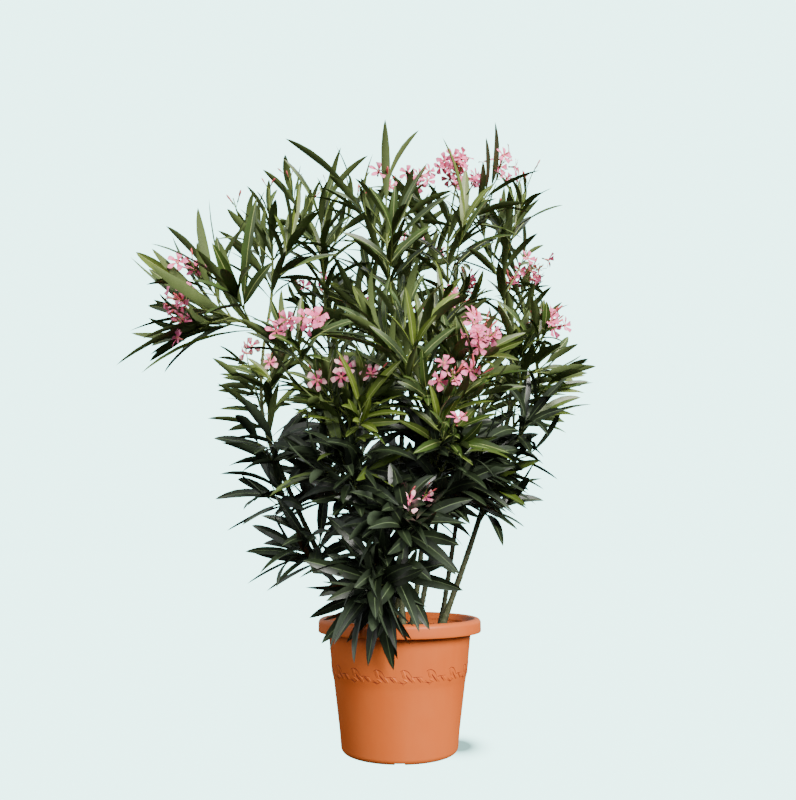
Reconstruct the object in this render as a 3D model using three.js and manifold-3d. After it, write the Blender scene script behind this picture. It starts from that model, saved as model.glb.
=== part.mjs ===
// A potted oleander: a bush of several leaning stems in a round plastic pot.
// Millimetres, +Z up, +Y to the back. The origin is the centre of the pot's flat underside.
// Each stem forks into boughs, and each bough or stem carries masses of foliage: a leafy shoot
// with side twigs, whorls of three leaves and, on most, a truss of blossom or buds.

import * as THREE from 'three';
import { mergeVertices } from 'three/addons/utils/BufferGeometryUtils.js';
import Module from 'manifold-3d';

const wasm = await Module();
wasm.setup();

// ---- driving dimensions -------------------------------------------------------------------

const POT = {
  rimRadius: 175,       // outer radius of the rolled rim
  height: 272.5,        // underside to crest of the rim
  rimBand: 28,          // height of the rim's upright face
  rimRoll: 9,           // radius of the rim's rounded shoulder
  rimInner: 161,        // inner edge of the crest
  bodyTop: 153.2,       // outer radius just under the rim
  stepHeight: 155,      // the wall steps in here, under the garland
  stepTop: 143.8,       // outer radius just above the step
  stepBottom: 141.6,    // outer radius just below the step
  footRadius: 122.5,    // outer radius that the wall would have at the floor
  footCorner: 12.5,     // rounding of the bottom corner
  wall: 3.6,
  floor: 5,
  notches: 4,           // drain notches in the bottom edge
  notchWidth: 22,
  notchHeight: 4,
  segments: 30,
};
const SOIL_DROP = 25;   // soil surface below the crest
const GAP = 0.3;        // clearance between neighbouring solids

// Stems: foot and fork, each by heading (degrees from +X, seen from above), distance from the
// pot's axis and, for the fork, height. bow pushes the middle outwards.
const STEMS = [
  { name: 'stem_right', foot: [0, 88], fork: [0, 238, 684], bow: 14, girth: 8.6 },
  { name: 'stem_right_inner', foot: [22, 97], fork: [20, 172, 690], bow: 4, girth: 7.4 },
  { name: 'stem_left', foot: [187, 88], fork: [184, 286, 640], bow: 16, girth: 8.6 },
  { name: 'stem_front_left', foot: [241, 51], fork: [236, 181, 619], bow: 10, girth: 8.2 },
  { name: 'stem_front_right', foot: [293, 65], fork: [298, 136, 602], bow: 6, girth: 8.0 },
  { name: 'stem_front', foot: [262, 95], fork: [271, 196, 425], bow: 14, girth: 6.4 },
  { name: 'stem_back_left', foot: [132, 67], fork: [135, 212, 650], bow: 10, girth: 8.2 },
  { name: 'stem_back_right', foot: [56, 72], fork: [55, 208, 660], bow: 10, girth: 8.2 },
  { name: 'stem_centre', foot: [63, 11], fork: [83, 40, 800], bow: 0, girth: 9.4 },
];
const STEM = { flare: 1.45, flareHeight: 60, tipShare: 0.68, sides: 7, steps: 6 };

// Boughs: the stem that carries them, where along it (1 is its tip), and where they end.
const BOUGHS = [
  { name: 'bough_far_left', on: 'stem_front_left', at: 0.86, tip: [215, 335, 838] },
  { name: 'bough_left', on: 'stem_left', at: 1, tip: [188, 300, 930] },
  { name: 'bough_front_left', on: 'stem_front_left', at: 1, tip: [225, 262, 765] },
  { name: 'bough_front', on: 'stem_front_right', at: 1, tip: [277, 232, 715] },
  { name: 'bough_front_right', on: 'stem_front_right', at: 0.84, tip: [303, 205, 700] },
  { name: 'bough_centre', on: 'stem_centre', at: 1, tip: [255, 60, 960] },
  { name: 'bough_centre_back', on: 'stem_centre', at: 0.9, tip: [88, 150, 950] },
  { name: 'bough_back_left', on: 'stem_back_left', at: 0.84, tip: [156, 192, 950] },
  { name: 'bough_back_left_low', on: 'stem_back_left', at: 1, tip: [127, 296, 850] },
  { name: 'bough_right_inner', on: 'stem_right_inner', at: 1, tip: [3, 128, 945] },
  { name: 'bough_right', on: 'stem_right', at: 1, tip: [10, 258, 940] },
  { name: 'bough_right_low', on: 'stem_right', at: 0.88, tip: [345, 262, 745] },
  { name: 'bough_back_right', on: 'stem_back_right', at: 0.84, tip: [26, 296, 850] },
  { name: 'bough_back_right_low', on: 'stem_back_right', at: 1, tip: [62, 285, 850] },
];
const BOUGH = { foot: 5.4, tip: 3.9, sides: 6, steps: 4 };

// Foliage: the limb that carries the mass, where along it, where its main shoot ends, and how
// many blooms and bud spikes its trusses have. A mass that leans out reaches beyond the crown.
const YOUNG_FOLIAGE = [
  { name: 'foliage_far_left', on: 'bough_far_left', at: 1, tip: [211, 486, 893], blooms: 4, beyond: 1.46 },
  { name: 'foliage_left_top', on: 'bough_left', at: 1, tip: [193, 306, 1172], buds: 3, beyond: 1.08 },
  { name: 'foliage_back_left_top', on: 'bough_back_left', at: 1, tip: [164, 188, 1245], buds: 3 },
  { name: 'foliage_centre_top', on: 'bough_centre', at: 1, tip: [256, 122, 1205], blooms: 1 },
  { name: 'foliage_right_inner_top', on: 'bough_right_inner', at: 1, tip: [343, 140, 1262], blooms: 7 },
  { name: 'foliage_right_top', on: 'bough_right', at: 1, tip: [11, 285, 1260], buds: 4, beyond: 1.06 },
  { name: 'foliage_back_right_top', on: 'bough_back_right', at: 1, tip: [22, 350, 1080], blooms: 4 },
  { name: 'foliage_right_mid', on: 'bough_right_low', at: 1, tip: [344, 330, 880], blooms: 3 },
  { name: 'foliage_right_side', on: 'stem_right', at: 0.93, tip: [359, 345, 795] },
  { name: 'foliage_front', on: 'bough_front', at: 1, tip: [272, 292, 860] },
  { name: 'foliage_front_right', on: 'bough_front_right', at: 1, tip: [307, 262, 830], blooms: 6 },
  { name: 'foliage_front_low_right', on: 'stem_front_right', at: 0.93, tip: [290, 272, 728], blooms: 4 },
  { name: 'foliage_front_left', on: 'bough_front_left', at: 1, tip: [231, 315, 850], blooms: 5 },
  { name: 'foliage_front_mid_left', on: 'stem_front_left', at: 0.93, tip: [247, 268, 750], blooms: 4 },
  { name: 'foliage_back_left_high', on: 'bough_back_left_low', at: 1, tip: [127, 330, 1085], blooms: 3 },
  { name: 'foliage_back_top', on: 'bough_centre_back', at: 1, tip: [84, 245, 1215], blooms: 2 },
  { name: 'foliage_back_right_high', on: 'bough_back_right_low', at: 1, tip: [57, 325, 1075], blooms: 3 },
  { name: 'foliage_left_side', on: 'stem_left', at: 0.94, tip: [169, 368, 855], blooms: 2 },
  { name: 'foliage_back_right_side', on: 'stem_back_right', at: 0.94, tip: [40, 350, 830], blooms: 1 },
  { name: 'foliage_middle_left', on: 'stem_centre', at: 0.94, tip: [170, 105, 1000] },
  { name: 'foliage_middle_right', on: 'stem_centre', at: 0.82, tip: [350, 110, 960], blooms: 2 },
];
const OLD_FOLIAGE = [
  { name: 'foliage_left_mid', on: 'stem_left', at: 0.86, tip: [198, 318, 640], beyond: 0.96 },
  { name: 'foliage_left_low', on: 'stem_left', at: 0.66, tip: [190, 272, 530], beyond: 1.26 },
  { name: 'foliage_left_lowest', on: 'stem_left', at: 0.36, tip: [203, 208, 425], beyond: 1.3 },
  { name: 'foliage_front_left_mid', on: 'stem_front_left', at: 0.72, tip: [240, 232, 600] },
  { name: 'foliage_front_right_mid', on: 'stem_front_right', at: 0.72, tip: [300, 222, 630] },
  { name: 'foliage_front_hanging', on: 'stem_front', at: 0.62, tip: [257, 236, 360], beyond: 1.9 },
  { name: 'foliage_front_low', on: 'stem_front', at: 1, tip: [272, 240, 500], blooms: 2, beyond: 1.25 },
  { name: 'foliage_right_low', on: 'stem_right', at: 0.78, tip: [351, 295, 695] },
  { name: 'foliage_right_lowest', on: 'stem_right', at: 0.5, tip: [346, 206, 520], beyond: 0.96 },
  { name: 'foliage_right_inner_low', on: 'stem_right_inner', at: 0.62, tip: [335, 168, 630] },
  { name: 'foliage_back_left_low', on: 'stem_back_left', at: 0.66, tip: [143, 262, 602] },
  { name: 'foliage_back_right_low', on: 'stem_back_right', at: 0.66, tip: [48, 258, 610] },
  { name: 'foliage_back_low', on: 'stem_centre', at: 0.42, tip: [95, 165, 560] },
  { name: 'foliage_heart', on: 'stem_centre', at: 0.7, tip: [200, 120, 780] },
];
const SHOOT = { foot: 4.2, tip: 2.8, sides: 3, steps: 4 };
const TWIG = { foot: 1.9, tip: 2.1, steps: 2 };

// The crown as a whole is an egg: leaf tips stay inside it, but for a spray that leans out. A
// higher round makes an end blunter.
const CROWN = { widest: 880, top: 1408, bottom: 110, radius: 436, topRound: 3, bottomRound: 1.3 };

// How the leaves of a habit stand: whorl spacing along the real shoot and how many of its whorls
// one of the solid's stands for, leaf length and width, the angle off the shoot at its foot and
// at its tip, how far the leaf curls back and sags, and the forks.
const HABITS = {
  young: {
    spacing: 30, stride: 3, leaf: 158, width: 17, openLow: 66, openHigh: 26, curl: 0.08, sag: 0.04,
    forks: [0.3, 0.6], forkOpen: 34, forkLength: 0.6,
  },
  old: {
    spacing: 28, stride: 2, leaf: 172, width: 21, openLow: 100, openHigh: 40, curl: 0.08, sag: 0.14,
    forks: [0.25, 0.6], forkOpen: 46, forkLength: 0.62,
  },
};
const WHORL = 3;              // leaves in a whorl
const WHORL_STEP = 4;         // they leave the shoot this far under one another
const LEAF_ROOT = 0.6;        // a leaf starts this far behind the shoot's axis
const TWIG_STRIDE = 9;        // a side twig's solid carries only its last whorl
const LEAF_WIDEN = 1.5;       // the solids' fewer leaves are wider than life
const LEAF_THICK = 2.2;
const BLOOM = { radius: 22, tube: 26, petals: 5, waist: 0.5, dish: 5 };
const BUD = { length: 34, width: 6 };
const TRUSS_OPEN = 58;        // how far a truss spreads, in degrees
const TRUSS_STEP = 5;         // flowers leave the shoot this far under one another
const CORNER_SPACING = 0.005; // the least distance between two corners of a solid
const FUSE_LIMIT = 3;         // a root's share of a solid in mm3: more means that two blades cross

// ---- small helpers ------------------------------------------------------------------------

const RAD = Math.PI / 180;
const GOLDEN_ANGLE = 137.5 * RAD;
const soilTop = POT.height - SOIL_DROP;

// A place from its heading in degrees, its distance from the pot's axis and its height.
function place([heading, reach, height]) {
  return new THREE.Vector3(reach * Math.cos(heading * RAD), reach * Math.sin(heading * RAD), height);
}

// A fixed number between 0 and 1 for each set of whole-number keys.
function chance(...keys) {
  let state = 1;
  for (const key of keys) {
    state = (state * 48271 + key * 7919 + 12345) % 2147483647;
  }
  state = (state * 48271) % 2147483647;
  return ((state * 48271) % 2147483647) / 2147483647;
}

function between(low, high, share) {
  return low + (high - low) * share;
}

function direction(from, to) {
  return to.clone().sub(from).normalize();
}

// The axis that lies furthest off the curve's chord: rings and whorls are turned from it.
function referenceAxis(curve) {
  const chord = direction(curve.v0, curve.v2);
  const sizes = [Math.abs(chord.x), Math.abs(chord.y), Math.abs(chord.z)];
  const least = sizes.indexOf(Math.min(...sizes));
  return new THREE.Vector3(least === 0 ? 1 : 0, least === 1 ? 1 : 0, least === 2 ? 1 : 0);
}

// Two directions square to the tangent.
function squareTo(tangent, reference) {
  const across = new THREE.Vector3().crossVectors(reference, tangent).normalize();
  return [across, new THREE.Vector3().crossVectors(tangent, across)];
}

function toGeometry(points, faces) {
  const geometry = new THREE.BufferGeometry();
  const flat = points.flatMap((point) => [point.x, point.y, point.z]);
  geometry.setAttribute('position', new THREE.Float32BufferAttribute(flat, 3));
  geometry.setIndex(faces.flat());
  return geometry;
}

// A closed tube along a curve, with a radius for each share of its length. A level foot makes
// its first ring horizontal.
function tube(curve, radiusAt, sides, steps, levelFoot = false) {
  const reference = referenceAxis(curve);
  const points = [];
  const faces = [];
  for (let step = 0; step <= steps; step += 1) {
    const share = step / steps;
    const centre = curve.getPoint(share);
    const tangent = levelFoot && step === 0 ? new THREE.Vector3(0, 0, 1) : curve.getTangent(share);
    const [across, upward] = squareTo(tangent, reference);
    for (let side = 0; side < sides; side += 1) {
      const turn = (side / sides) * 2 * Math.PI;
      points.push(centre.clone()
        .addScaledVector(across, radiusAt(share) * Math.cos(turn))
        .addScaledVector(upward, radiusAt(share) * Math.sin(turn)));
    }
  }
  for (let step = 0; step < steps; step += 1) {
    for (let side = 0; side < sides; side += 1) {
      const a = step * sides + side;
      const b = step * sides + ((side + 1) % sides);
      faces.push([a, b, b + sides], [a, b + sides, a + sides]);
    }
  }
  const last = steps * sides;
  for (let side = 1; side < sides - 1; side += 1) {
    faces.push([0, side + 1, side], [last, last + side, last + side + 1]);
  }
  return toGeometry(points, faces);
}

// Faces of a flat double cone: a ring of points with one point above it and one below.
function doubleCone(ring, above, below) {
  const faces = [];
  for (let index = 0; index < ring.length; index += 1) {
    const next = (index + 1) % ring.length;
    faces.push([index, next, ring.length], [next, index, ring.length + 1]);
  }
  return toGeometry([...ring, above, below], faces);
}

function toSolid(geometry) {
  const bare = geometry.clone();
  bare.deleteAttribute('normal');
  bare.deleteAttribute('uv');
  const merged = mergeVertices(bare, 1e-4);
  return new wasm.Manifold(new wasm.Mesh({
    numProp: 3,
    vertProperties: new Float32Array(merged.attributes.position.array),
    triVerts: new Uint32Array(merged.index.array),
  }));
}

function fromSolid(solid) {
  const mesh = solid.getMesh();
  const geometry = new THREE.BufferGeometry();
  geometry.setAttribute('position', new THREE.BufferAttribute(new Float32Array(mesh.vertProperties), 3));
  geometry.setIndex(new THREE.BufferAttribute(new Uint32Array(mesh.triVerts), 1));
  return geometry;
}

// The biggest connected piece, so that no loose scrap stays behind a cut.
function biggest(solid) {
  return solid.decompose().reduce((best, piece) => (piece.volume() > best.volume() ? piece : best));
}

// Whether all corners of a solid keep apart, so that none are lost when its file is rounded.
function wellSpaced(solid) {
  const { vertProperties } = solid.getMesh();
  const corners = [];
  for (let index = 0; index < vertProperties.length; index += 3) {
    corners.push(new THREE.Vector3().fromArray(vertProperties, index));
  }
  corners.sort((a, b) => a.x - b.x);
  return corners.every((corner, index) => {
    for (let next = index + 1; next < corners.length; next += 1) {
      if (corners[next].x - corner.x > CORNER_SPACING) break;
      if (corners[next].distanceTo(corner) < CORNER_SPACING) return false;
    }
    return true;
  });
}

// Points along a curve, and the least distance from a point to the line through them.
function samples(curve, count) {
  return Array.from({ length: count + 1 }, (_, index) => curve.getPoint(index / count));
}

function distanceToLine(point, line) {
  const segment = new THREE.Line3();
  const foot = new THREE.Vector3();
  let least = Infinity;
  for (let index = 1; index < line.length; index += 1) {
    segment.set(line[index - 1], line[index]);
    segment.closestPointToPoint(point, true, foot);
    least = Math.min(least, foot.distanceTo(point));
  }
  return least;
}

// ---- pot and soil -------------------------------------------------------------------------

function arc(centreX, centreY, radius, fromDegrees, toDegrees, steps) {
  return Array.from({ length: steps + 1 }, (_, index) => {
    const turn = between(fromDegrees, toDegrees, index / steps) * RAD;
    return new THREE.Vector2(centreX + radius * Math.cos(turn), centreY + radius * Math.sin(turn));
  });
}

function lathe(profile) {
  return new THREE.LatheGeometry(profile, POT.segments).rotateX(Math.PI / 2);
}

function makePot() {
  const point = (radius, height) => new THREE.Vector2(radius, height);
  const rimFoot = POT.height - POT.rimBand;
  const skirtTop = POT.height - POT.rimRoll - POT.wall;
  const shoulder = POT.rimRadius - POT.rimRoll;
  const profile = [
    point(0, 0),
    ...arc(POT.footRadius - POT.footCorner + 1, POT.footCorner, POT.footCorner, -90, -5, 4),
    point(POT.stepBottom, POT.stepHeight),
    point(POT.stepTop, POT.stepHeight + 1.5),
    point(POT.bodyTop, rimFoot),
    point(POT.bodyTop + 1, skirtTop),
    point(POT.rimRadius - POT.wall - 1.5, skirtTop),
    point(POT.rimRadius - POT.wall, rimFoot),
    point(POT.rimRadius, rimFoot),
    ...arc(shoulder, POT.height - POT.rimRoll, POT.rimRoll, 0, 90, 3),
    point(POT.rimInner + 2, POT.height),
    point(POT.rimInner - 1.5, POT.height - 3),
    point(POT.bodyTop - POT.wall, rimFoot),
    point(POT.stepTop - POT.wall, POT.stepHeight + 1.5),
    point(POT.stepBottom - POT.wall, POT.stepHeight),
    point(POT.footRadius - POT.wall, POT.floor),
    point(0, POT.floor),
  ];
  let pot = toSolid(lathe(profile));
  const depth = 2 * POT.footCorner;
  for (let index = 0; index < POT.notches; index += 1) {
    const notch = new THREE.BoxGeometry(POT.notchWidth, depth, 2 * POT.notchHeight);
    notch.translate(0, -POT.footRadius, 0);
    notch.rotateZ((index / POT.notches) * 2 * Math.PI);
    pot = pot.subtract(toSolid(notch));
  }
  return fromSolid(pot);
}

function makeSoil() {
  const inset = POT.wall + GAP;
  const rimFoot = POT.height - POT.rimBand;
  const topRadius = between(
    POT.bodyTop - inset,
    POT.rimInner - 1.5 - GAP,
    (soilTop - rimFoot) / (POT.rimBand - 3),
  );
  return lathe([
    new THREE.Vector2(0, POT.floor + GAP),
    new THREE.Vector2(POT.footRadius - inset, POT.floor + GAP),
    new THREE.Vector2(POT.stepBottom - inset, POT.stepHeight),
    new THREE.Vector2(POT.stepTop - inset, POT.stepHeight + 1.5),
    new THREE.Vector2(POT.bodyTop - inset, rimFoot),
    new THREE.Vector2(topRadius - GAP, soilTop),
    new THREE.Vector2(0, soilTop),
  ]);
}

// ---- stems and boughs ---------------------------------------------------------------------

const limbs = new Map();

function stemRadius(girth, length) {
  return (share) => {
    const flare = Math.max(0, 1 - (share * length) / STEM.flareHeight);
    return girth * (between(1, STEM.tipShare, share) + (STEM.flare - 1) * flare * flare);
  };
}

function addStem(stem) {
  const [heading, reach] = stem.foot;
  const foot = place([heading, reach, soilTop + GAP]);
  const fork = place(stem.fork);
  const outward = fork.clone().sub(foot).setZ(0).normalize();
  const bend = foot.clone().lerp(fork, 0.5).addScaledVector(outward, stem.bow);
  const curve = new THREE.QuadraticBezierCurve3(foot, bend, fork);
  limbs.set(stem.name, { curve, radiusAt: stemRadius(stem.girth, curve.getLength()), sides: STEM.sides,
    steps: STEM.steps, line: samples(curve, 12), level: true });
}

// The curve of a bough or shoot: straight on from a limb's tip, or out of its side.
function sideCurve(carrier, at, tip) {
  const tangent = carrier.curve.getTangent(at);
  const start = carrier.curve.getPoint(at);
  const chord = direction(start, tip);
  const span = start.distanceTo(tip);
  const onTip = at === 1;
  if (onTip) start.addScaledVector(tangent, GAP);
  const lead = onTip ? tangent : chord.lerp(tangent, 0.1).normalize();
  const bend = start.clone().addScaledVector(lead, 0.4 * span);
  return new THREE.QuadraticBezierCurve3(start, bend, tip);
}

function addBough(bough) {
  const carrier = limbs.get(bough.on);
  const curve = sideCurve(carrier, bough.at, place(bough.tip));
  const radiusAt = (share) => between(BOUGH.foot, BOUGH.tip, share);
  limbs.set(bough.name, { curve, radiusAt, sides: BOUGH.sides, steps: BOUGH.steps,
    line: samples(curve, 12), level: false, on: bough.on, at: bough.at });
}

// A limb's tube, or with a margin the slightly fatter tube that others are cut back by.
function limbSolid(limb, margin = 0) {
  const radiusAt = (share) => limb.radiusAt(share) + margin;
  return toSolid(tube(limb.curve, radiusAt, limb.sides, limb.steps, limb.level));
}

function clearOfCarrier(solid, on, at) {
  if (at === 1) return solid;
  return biggest(solid.subtract(limbSolid(limbs.get(on), GAP / Math.cos(Math.PI / STEM.sides))));
}

function makeLimb(name) {
  const limb = limbs.get(name);
  const solid = limbSolid(limb);
  return fromSolid(limb.on ? clearOfCarrier(solid, limb.on, limb.at) : solid);
}

// ---- the growing rule of a shoot ----------------------------------------------------------

// Least distance from a point to any limb's surface.
function clearOfLimbs(point, radius) {
  for (const limb of limbs.values()) {
    const clearance = distanceToLine(point, limb.line) - limb.radiusAt(0.3);
    if (clearance < radius) return false;
  }
  return true;
}

// Side twigs leave the shoot in pairs at its forks, turned from fork to fork.
function twigCurves(shoot, habit, seed) {
  const reference = referenceAxis(shoot);
  const length = shoot.getLength();
  const curves = [];
  habit.forks.forEach((share, fork) => {
    const start = shoot.getPoint(share);
    const tangent = shoot.getTangent(share);
    const [across, upward] = squareTo(tangent, reference);
    for (let pair = 0; pair < 2; pair += 1) {
      const turn = (fork * 75 + pair * 180 + 50 * chance(seed, fork, pair, 1)) * RAD;
      const open = (habit.forkOpen + 10 * chance(seed, fork, pair, 2)) * RAD;
      const reach = length * habit.forkLength * between(0.75, 1, chance(seed, fork, pair, 3));
      const outward = across.clone().multiplyScalar(Math.cos(turn)).addScaledVector(upward, Math.sin(turn));
      const heading = tangent.clone().multiplyScalar(Math.cos(open)).addScaledVector(outward, Math.sin(open));
      const bend = start.clone().addScaledVector(heading, 0.5 * reach);
      const turned = heading.clone().addScaledVector(tangent, 0.5).normalize();
      const tip = bend.clone().addScaledVector(turned, 0.5 * reach);
      curves.push(new THREE.QuadraticBezierCurve3(start, bend, tip));
    }
  });
  return curves;
}

// The leaf on a whorl: its foot on the shoot, its direction, the way its face looks and its size.
function leafAt(curve, reference, habit, share, keys) {
  const [, , whorl, index] = keys;
  const [across, upward] = squareTo(curve.getTangent(share), reference);
  const tangent = curve.getTangent(share);
  const turn = (whorl * 60 + index * 120 + 26 * chance(...keys, 1)) * RAD;
  const open = (between(habit.openLow, habit.openHigh, share) + 16 * (chance(...keys, 2) - 0.5)) * RAD;
  const outward = across.multiplyScalar(Math.cos(turn)).addScaledVector(upward, Math.sin(turn));
  return {
    foot: curve.getPoint(share).addScaledVector(tangent, -WHORL_STEP * (index + 0.5)),
    tangent,
    outward,
    open,
    length: habit.leaf * between(0.82, 1.08, chance(...keys, 3)) * between(1, 0.86, share),
    curl: habit.curl * between(0.4, 1.6, chance(...keys, 4)),
    sag: habit.sag * between(0.5, 1.5, chance(...keys, 5)),
    crownShare: between(0.84, 1, chance(...keys, 6)),
  };
}

// All whorls of one shoot or twig, from its foot to its tip.
function whorlShares(curve, habit) {
  const length = curve.getLength();
  const count = Math.max(2, Math.round((length * 0.86) / habit.spacing));
  return Array.from({ length: count }, (_, index) => between(0.14, 1, (index + 1) / count));
}

// Foot, middle and tip of a leaf's midrib, and the directions across and through its blade.
function leafLine(leaf, openShare, lengthShare, turnDegrees) {
  const open = leaf.open * openShare;
  const outward = leaf.outward.clone().applyAxisAngle(leaf.tangent, turnDegrees * RAD);
  const along = leaf.tangent.clone().multiplyScalar(Math.cos(open)).addScaledVector(outward, Math.sin(open));
  const facing = leaf.tangent.clone().addScaledVector(along, -along.dot(leaf.tangent)).normalize();
  const length = leaf.length * lengthShare;
  const middle = leaf.foot.clone().addScaledVector(along, 0.45 * length);
  middle.addScaledVector(facing, 0.02 * length);
  const tip = leaf.foot.clone().addScaledVector(along, length).addScaledVector(facing, -leaf.curl * length);
  tip.z -= leaf.sag * length;
  const side = new THREE.Vector3().crossVectors(along, facing);
  return { foot: leaf.foot, middle, tip, along, facing, side };
}

// Points along the midrib, each with the blade's half width there.
function leafProbes(line, halfWidth) {
  const probes = [];
  for (const share of [0.2, 0.4, 0.6, 0.8, 1]) {
    const low = line.foot.clone().lerp(line.middle, share);
    const high = line.middle.clone().lerp(line.tip, share);
    probes.push({ point: low, half: halfWidth * share }, { point: high, half: halfWidth * (1 - share) });
  }
  return probes;
}

// How far from the pot's axis the crown reaches at a height.
function crownRadius(height) {
  const above = height > CROWN.widest;
  const share = (height - CROWN.widest) / ((above ? CROWN.top : CROWN.bottom) - CROWN.widest);
  const round = above ? CROWN.topRound : CROWN.bottomRound;
  return CROWN.radius * Math.sqrt(Math.max(0, 1 - share ** round));
}

function inCrown(point, mass, share) {
  return Math.hypot(point.x, point.y) < crownRadius(point.z) * share * (mass.beyond ?? 1);
}

const masses = [
  ...YOUNG_FOLIAGE.map((row) => ({ ...row, habit: 'young' })),
  ...OLD_FOLIAGE.map((row) => ({ ...row, habit: 'old' })),
].map((row, index) => ({ ...row, seed: index + 1, lines: [] }));

// A point keeps to a mass's own space when no other mass has a shoot or twig nearer to it.
function inOwnSpace(point, mass, margin) {
  const own = Math.min(...mass.lines.map((line) => distanceToLine(point, line)));
  return masses.every((other) => other === mass
    || other.lines.every((line) => distanceToLine(point, line) > own + margin));
}

function growShoot(mass) {
  const carrier = limbs.get(mass.on);
  mass.shape = HABITS[mass.habit];
  mass.shoot = sideCurve(carrier, mass.at, place(mass.tip));
  mass.lines.push(samples(mass.shoot, 6));
}

function growTwigs(mass) {
  const room = 11;
  mass.twigs = twigCurves(mass.shoot, mass.shape, mass.seed).filter((curve) => {
    const line = samples(curve, 6);
    const clear = inCrown(curve.v2, mass, 0.86) && line.slice(1).every((point) => clearOfLimbs(point, room)
      && masses.every((other) => other === mass
        || other.lines.every((otherLine) => distanceToLine(point, otherLine) > 2 * room)));
    if (clear) mass.lines.push(line);
    return clear;
  });
}

// Shares of the leaf's angle and length, and the degrees that it turns round the shoot, in turn.
const LEAF_TRIES = [
  [1, 1, 0], [0.75, 1, 0], [1, 0.9, 25], [1, 0.9, -25], [0.7, 0.85, 0],
  [0.85, 0.7, 30], [0.85, 0.7, -30], [0.5, 0.75, 0], [0.7, 0.6, 0],
];

function leafFits(line, leaf, mass, halfWidth) {
  if (!inCrown(line.tip, mass, leaf.crownShare)) return false;
  return leafProbes(line, halfWidth).every(({ point, half }) => {
    const edges = [-half, half].map((offset) => point.clone().addScaledVector(line.side, offset));
    return clearOfLimbs(point, half + 1.5) && edges.every((edge) => inOwnSpace(edge, mass, 2.5));
  });
}

function leafSolid(line, halfWidth) {
  const root = line.foot.clone().addScaledVector(line.along, -LEAF_ROOT);
  const points = [
    root,
    line.middle.clone().addScaledVector(line.side, halfWidth),
    line.tip,
    line.middle.clone().addScaledVector(line.side, -halfWidth),
    line.middle.clone().addScaledVector(line.facing, LEAF_THICK),
  ];
  const faces = [[0, 1, 4], [1, 2, 4], [2, 3, 4], [3, 0, 4], [0, 3, 1], [1, 3, 2]];
  return toSolid(toGeometry(points, faces));
}

// A bloom is a five-lobed star with a long tube under it, whose foot is sunk in the shoot.
function bloomSolid(foot, along) {
  const reference = Math.abs(along.z) < 0.9 ? new THREE.Vector3(0, 0, 1) : new THREE.Vector3(1, 0, 0);
  const [across, upward] = squareTo(along, reference);
  const face = foot.clone().addScaledVector(along, BLOOM.tube);
  const ring = Array.from({ length: 2 * BLOOM.petals }, (_, index) => {
    const turn = (index / BLOOM.petals) * Math.PI;
    const radius = BLOOM.radius * (index % 2 ? BLOOM.waist : 1);
    return face.clone().addScaledVector(across, radius * Math.cos(turn))
      .addScaledVector(upward, radius * Math.sin(turn))
      .addScaledVector(along, index % 2 ? 0 : BLOOM.dish);
  });
  return toSolid(doubleCone(ring, face.clone().addScaledVector(along, 1.5), foot));
}

function budSolid(foot, along) {
  const reference = Math.abs(along.z) < 0.9 ? new THREE.Vector3(0, 0, 1) : new THREE.Vector3(1, 0, 0);
  const [across, upward] = squareTo(along, reference);
  const middle = foot.clone().addScaledVector(along, 0.6 * BUD.length);
  const ring = [0, 1, 2].map((index) => middle.clone()
    .addScaledVector(across, (BUD.width / 2) * Math.cos((index * 2 * Math.PI) / 3))
    .addScaledVector(upward, (BUD.width / 2) * Math.sin((index * 2 * Math.PI) / 3)));
  return toSolid(doubleCone(ring, foot.clone().addScaledVector(along, BUD.length), foot));
}

// The places of a truss's flowers: they leave the end of a shoot or twig in a spiral dome.
function trussPlaces(curve, count, seed) {
  const end = curve.getPoint(1);
  const tangent = curve.getTangent(1);
  const [across, upward] = squareTo(tangent, referenceAxis(curve));
  return Array.from({ length: count }, (_, index) => {
    const turn = index * GOLDEN_ANGLE + 2 * Math.PI * chance(seed, 77);
    const open = TRUSS_OPEN * RAD * Math.sqrt((index + 0.4) / count);
    const along = tangent.clone().multiplyScalar(Math.cos(open))
      .addScaledVector(across, Math.sin(open) * Math.cos(turn))
      .addScaledVector(upward, Math.sin(open) * Math.sin(turn));
    return { foot: end.clone().addScaledVector(tangent, -2 - TRUSS_STEP * index), along };
  });
}

// Blossom sits at the ends of the shoot and of its last twigs, a few to each end.
function fuseBlossom(mass, fuse) {
  const ends = [mass.shoot, ...mass.twigs.slice(-2)];
  const shared = (count, index) => Math.floor((count + ends.length - 1 - index) / ends.length);
  ends.forEach((curve, index) => {
    const blooms = shared(mass.blooms ?? 0, index);
    const buds = shared(mass.buds ?? 0, index);
    trussPlaces(curve, blooms, mass.seed * 10 + index).forEach(({ foot, along }) => {
      const middle = foot.clone().addScaledVector(along, BLOOM.tube);
      if (clearOfLimbs(middle, BLOOM.radius) && inOwnSpace(middle, mass, 2 * BLOOM.radius + 4)) {
        fuse(bloomSolid(foot, along));
      }
    });
    trussPlaces(curve, buds, mass.seed * 10 + 5 + index).forEach(({ foot, along }) => {
      if (inOwnSpace(foot.clone().addScaledVector(along, BUD.length), mass, BUD.width)) {
        fuse(budSolid(foot, along));
      }
    });
  });
}

// A leaf that would leave the space, touch a limb or cross another leaf is tried closer to the
// shoot and shorter, and then skipped.
function fuseLeaf(leaf, mass, halfWidth, fuse) {
  return LEAF_TRIES.some((shares) => {
    const line = leafLine(leaf, ...shares);
    return leafFits(line, leaf, mass, halfWidth) && fuse(leafSolid(line, halfWidth));
  });
}

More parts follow.
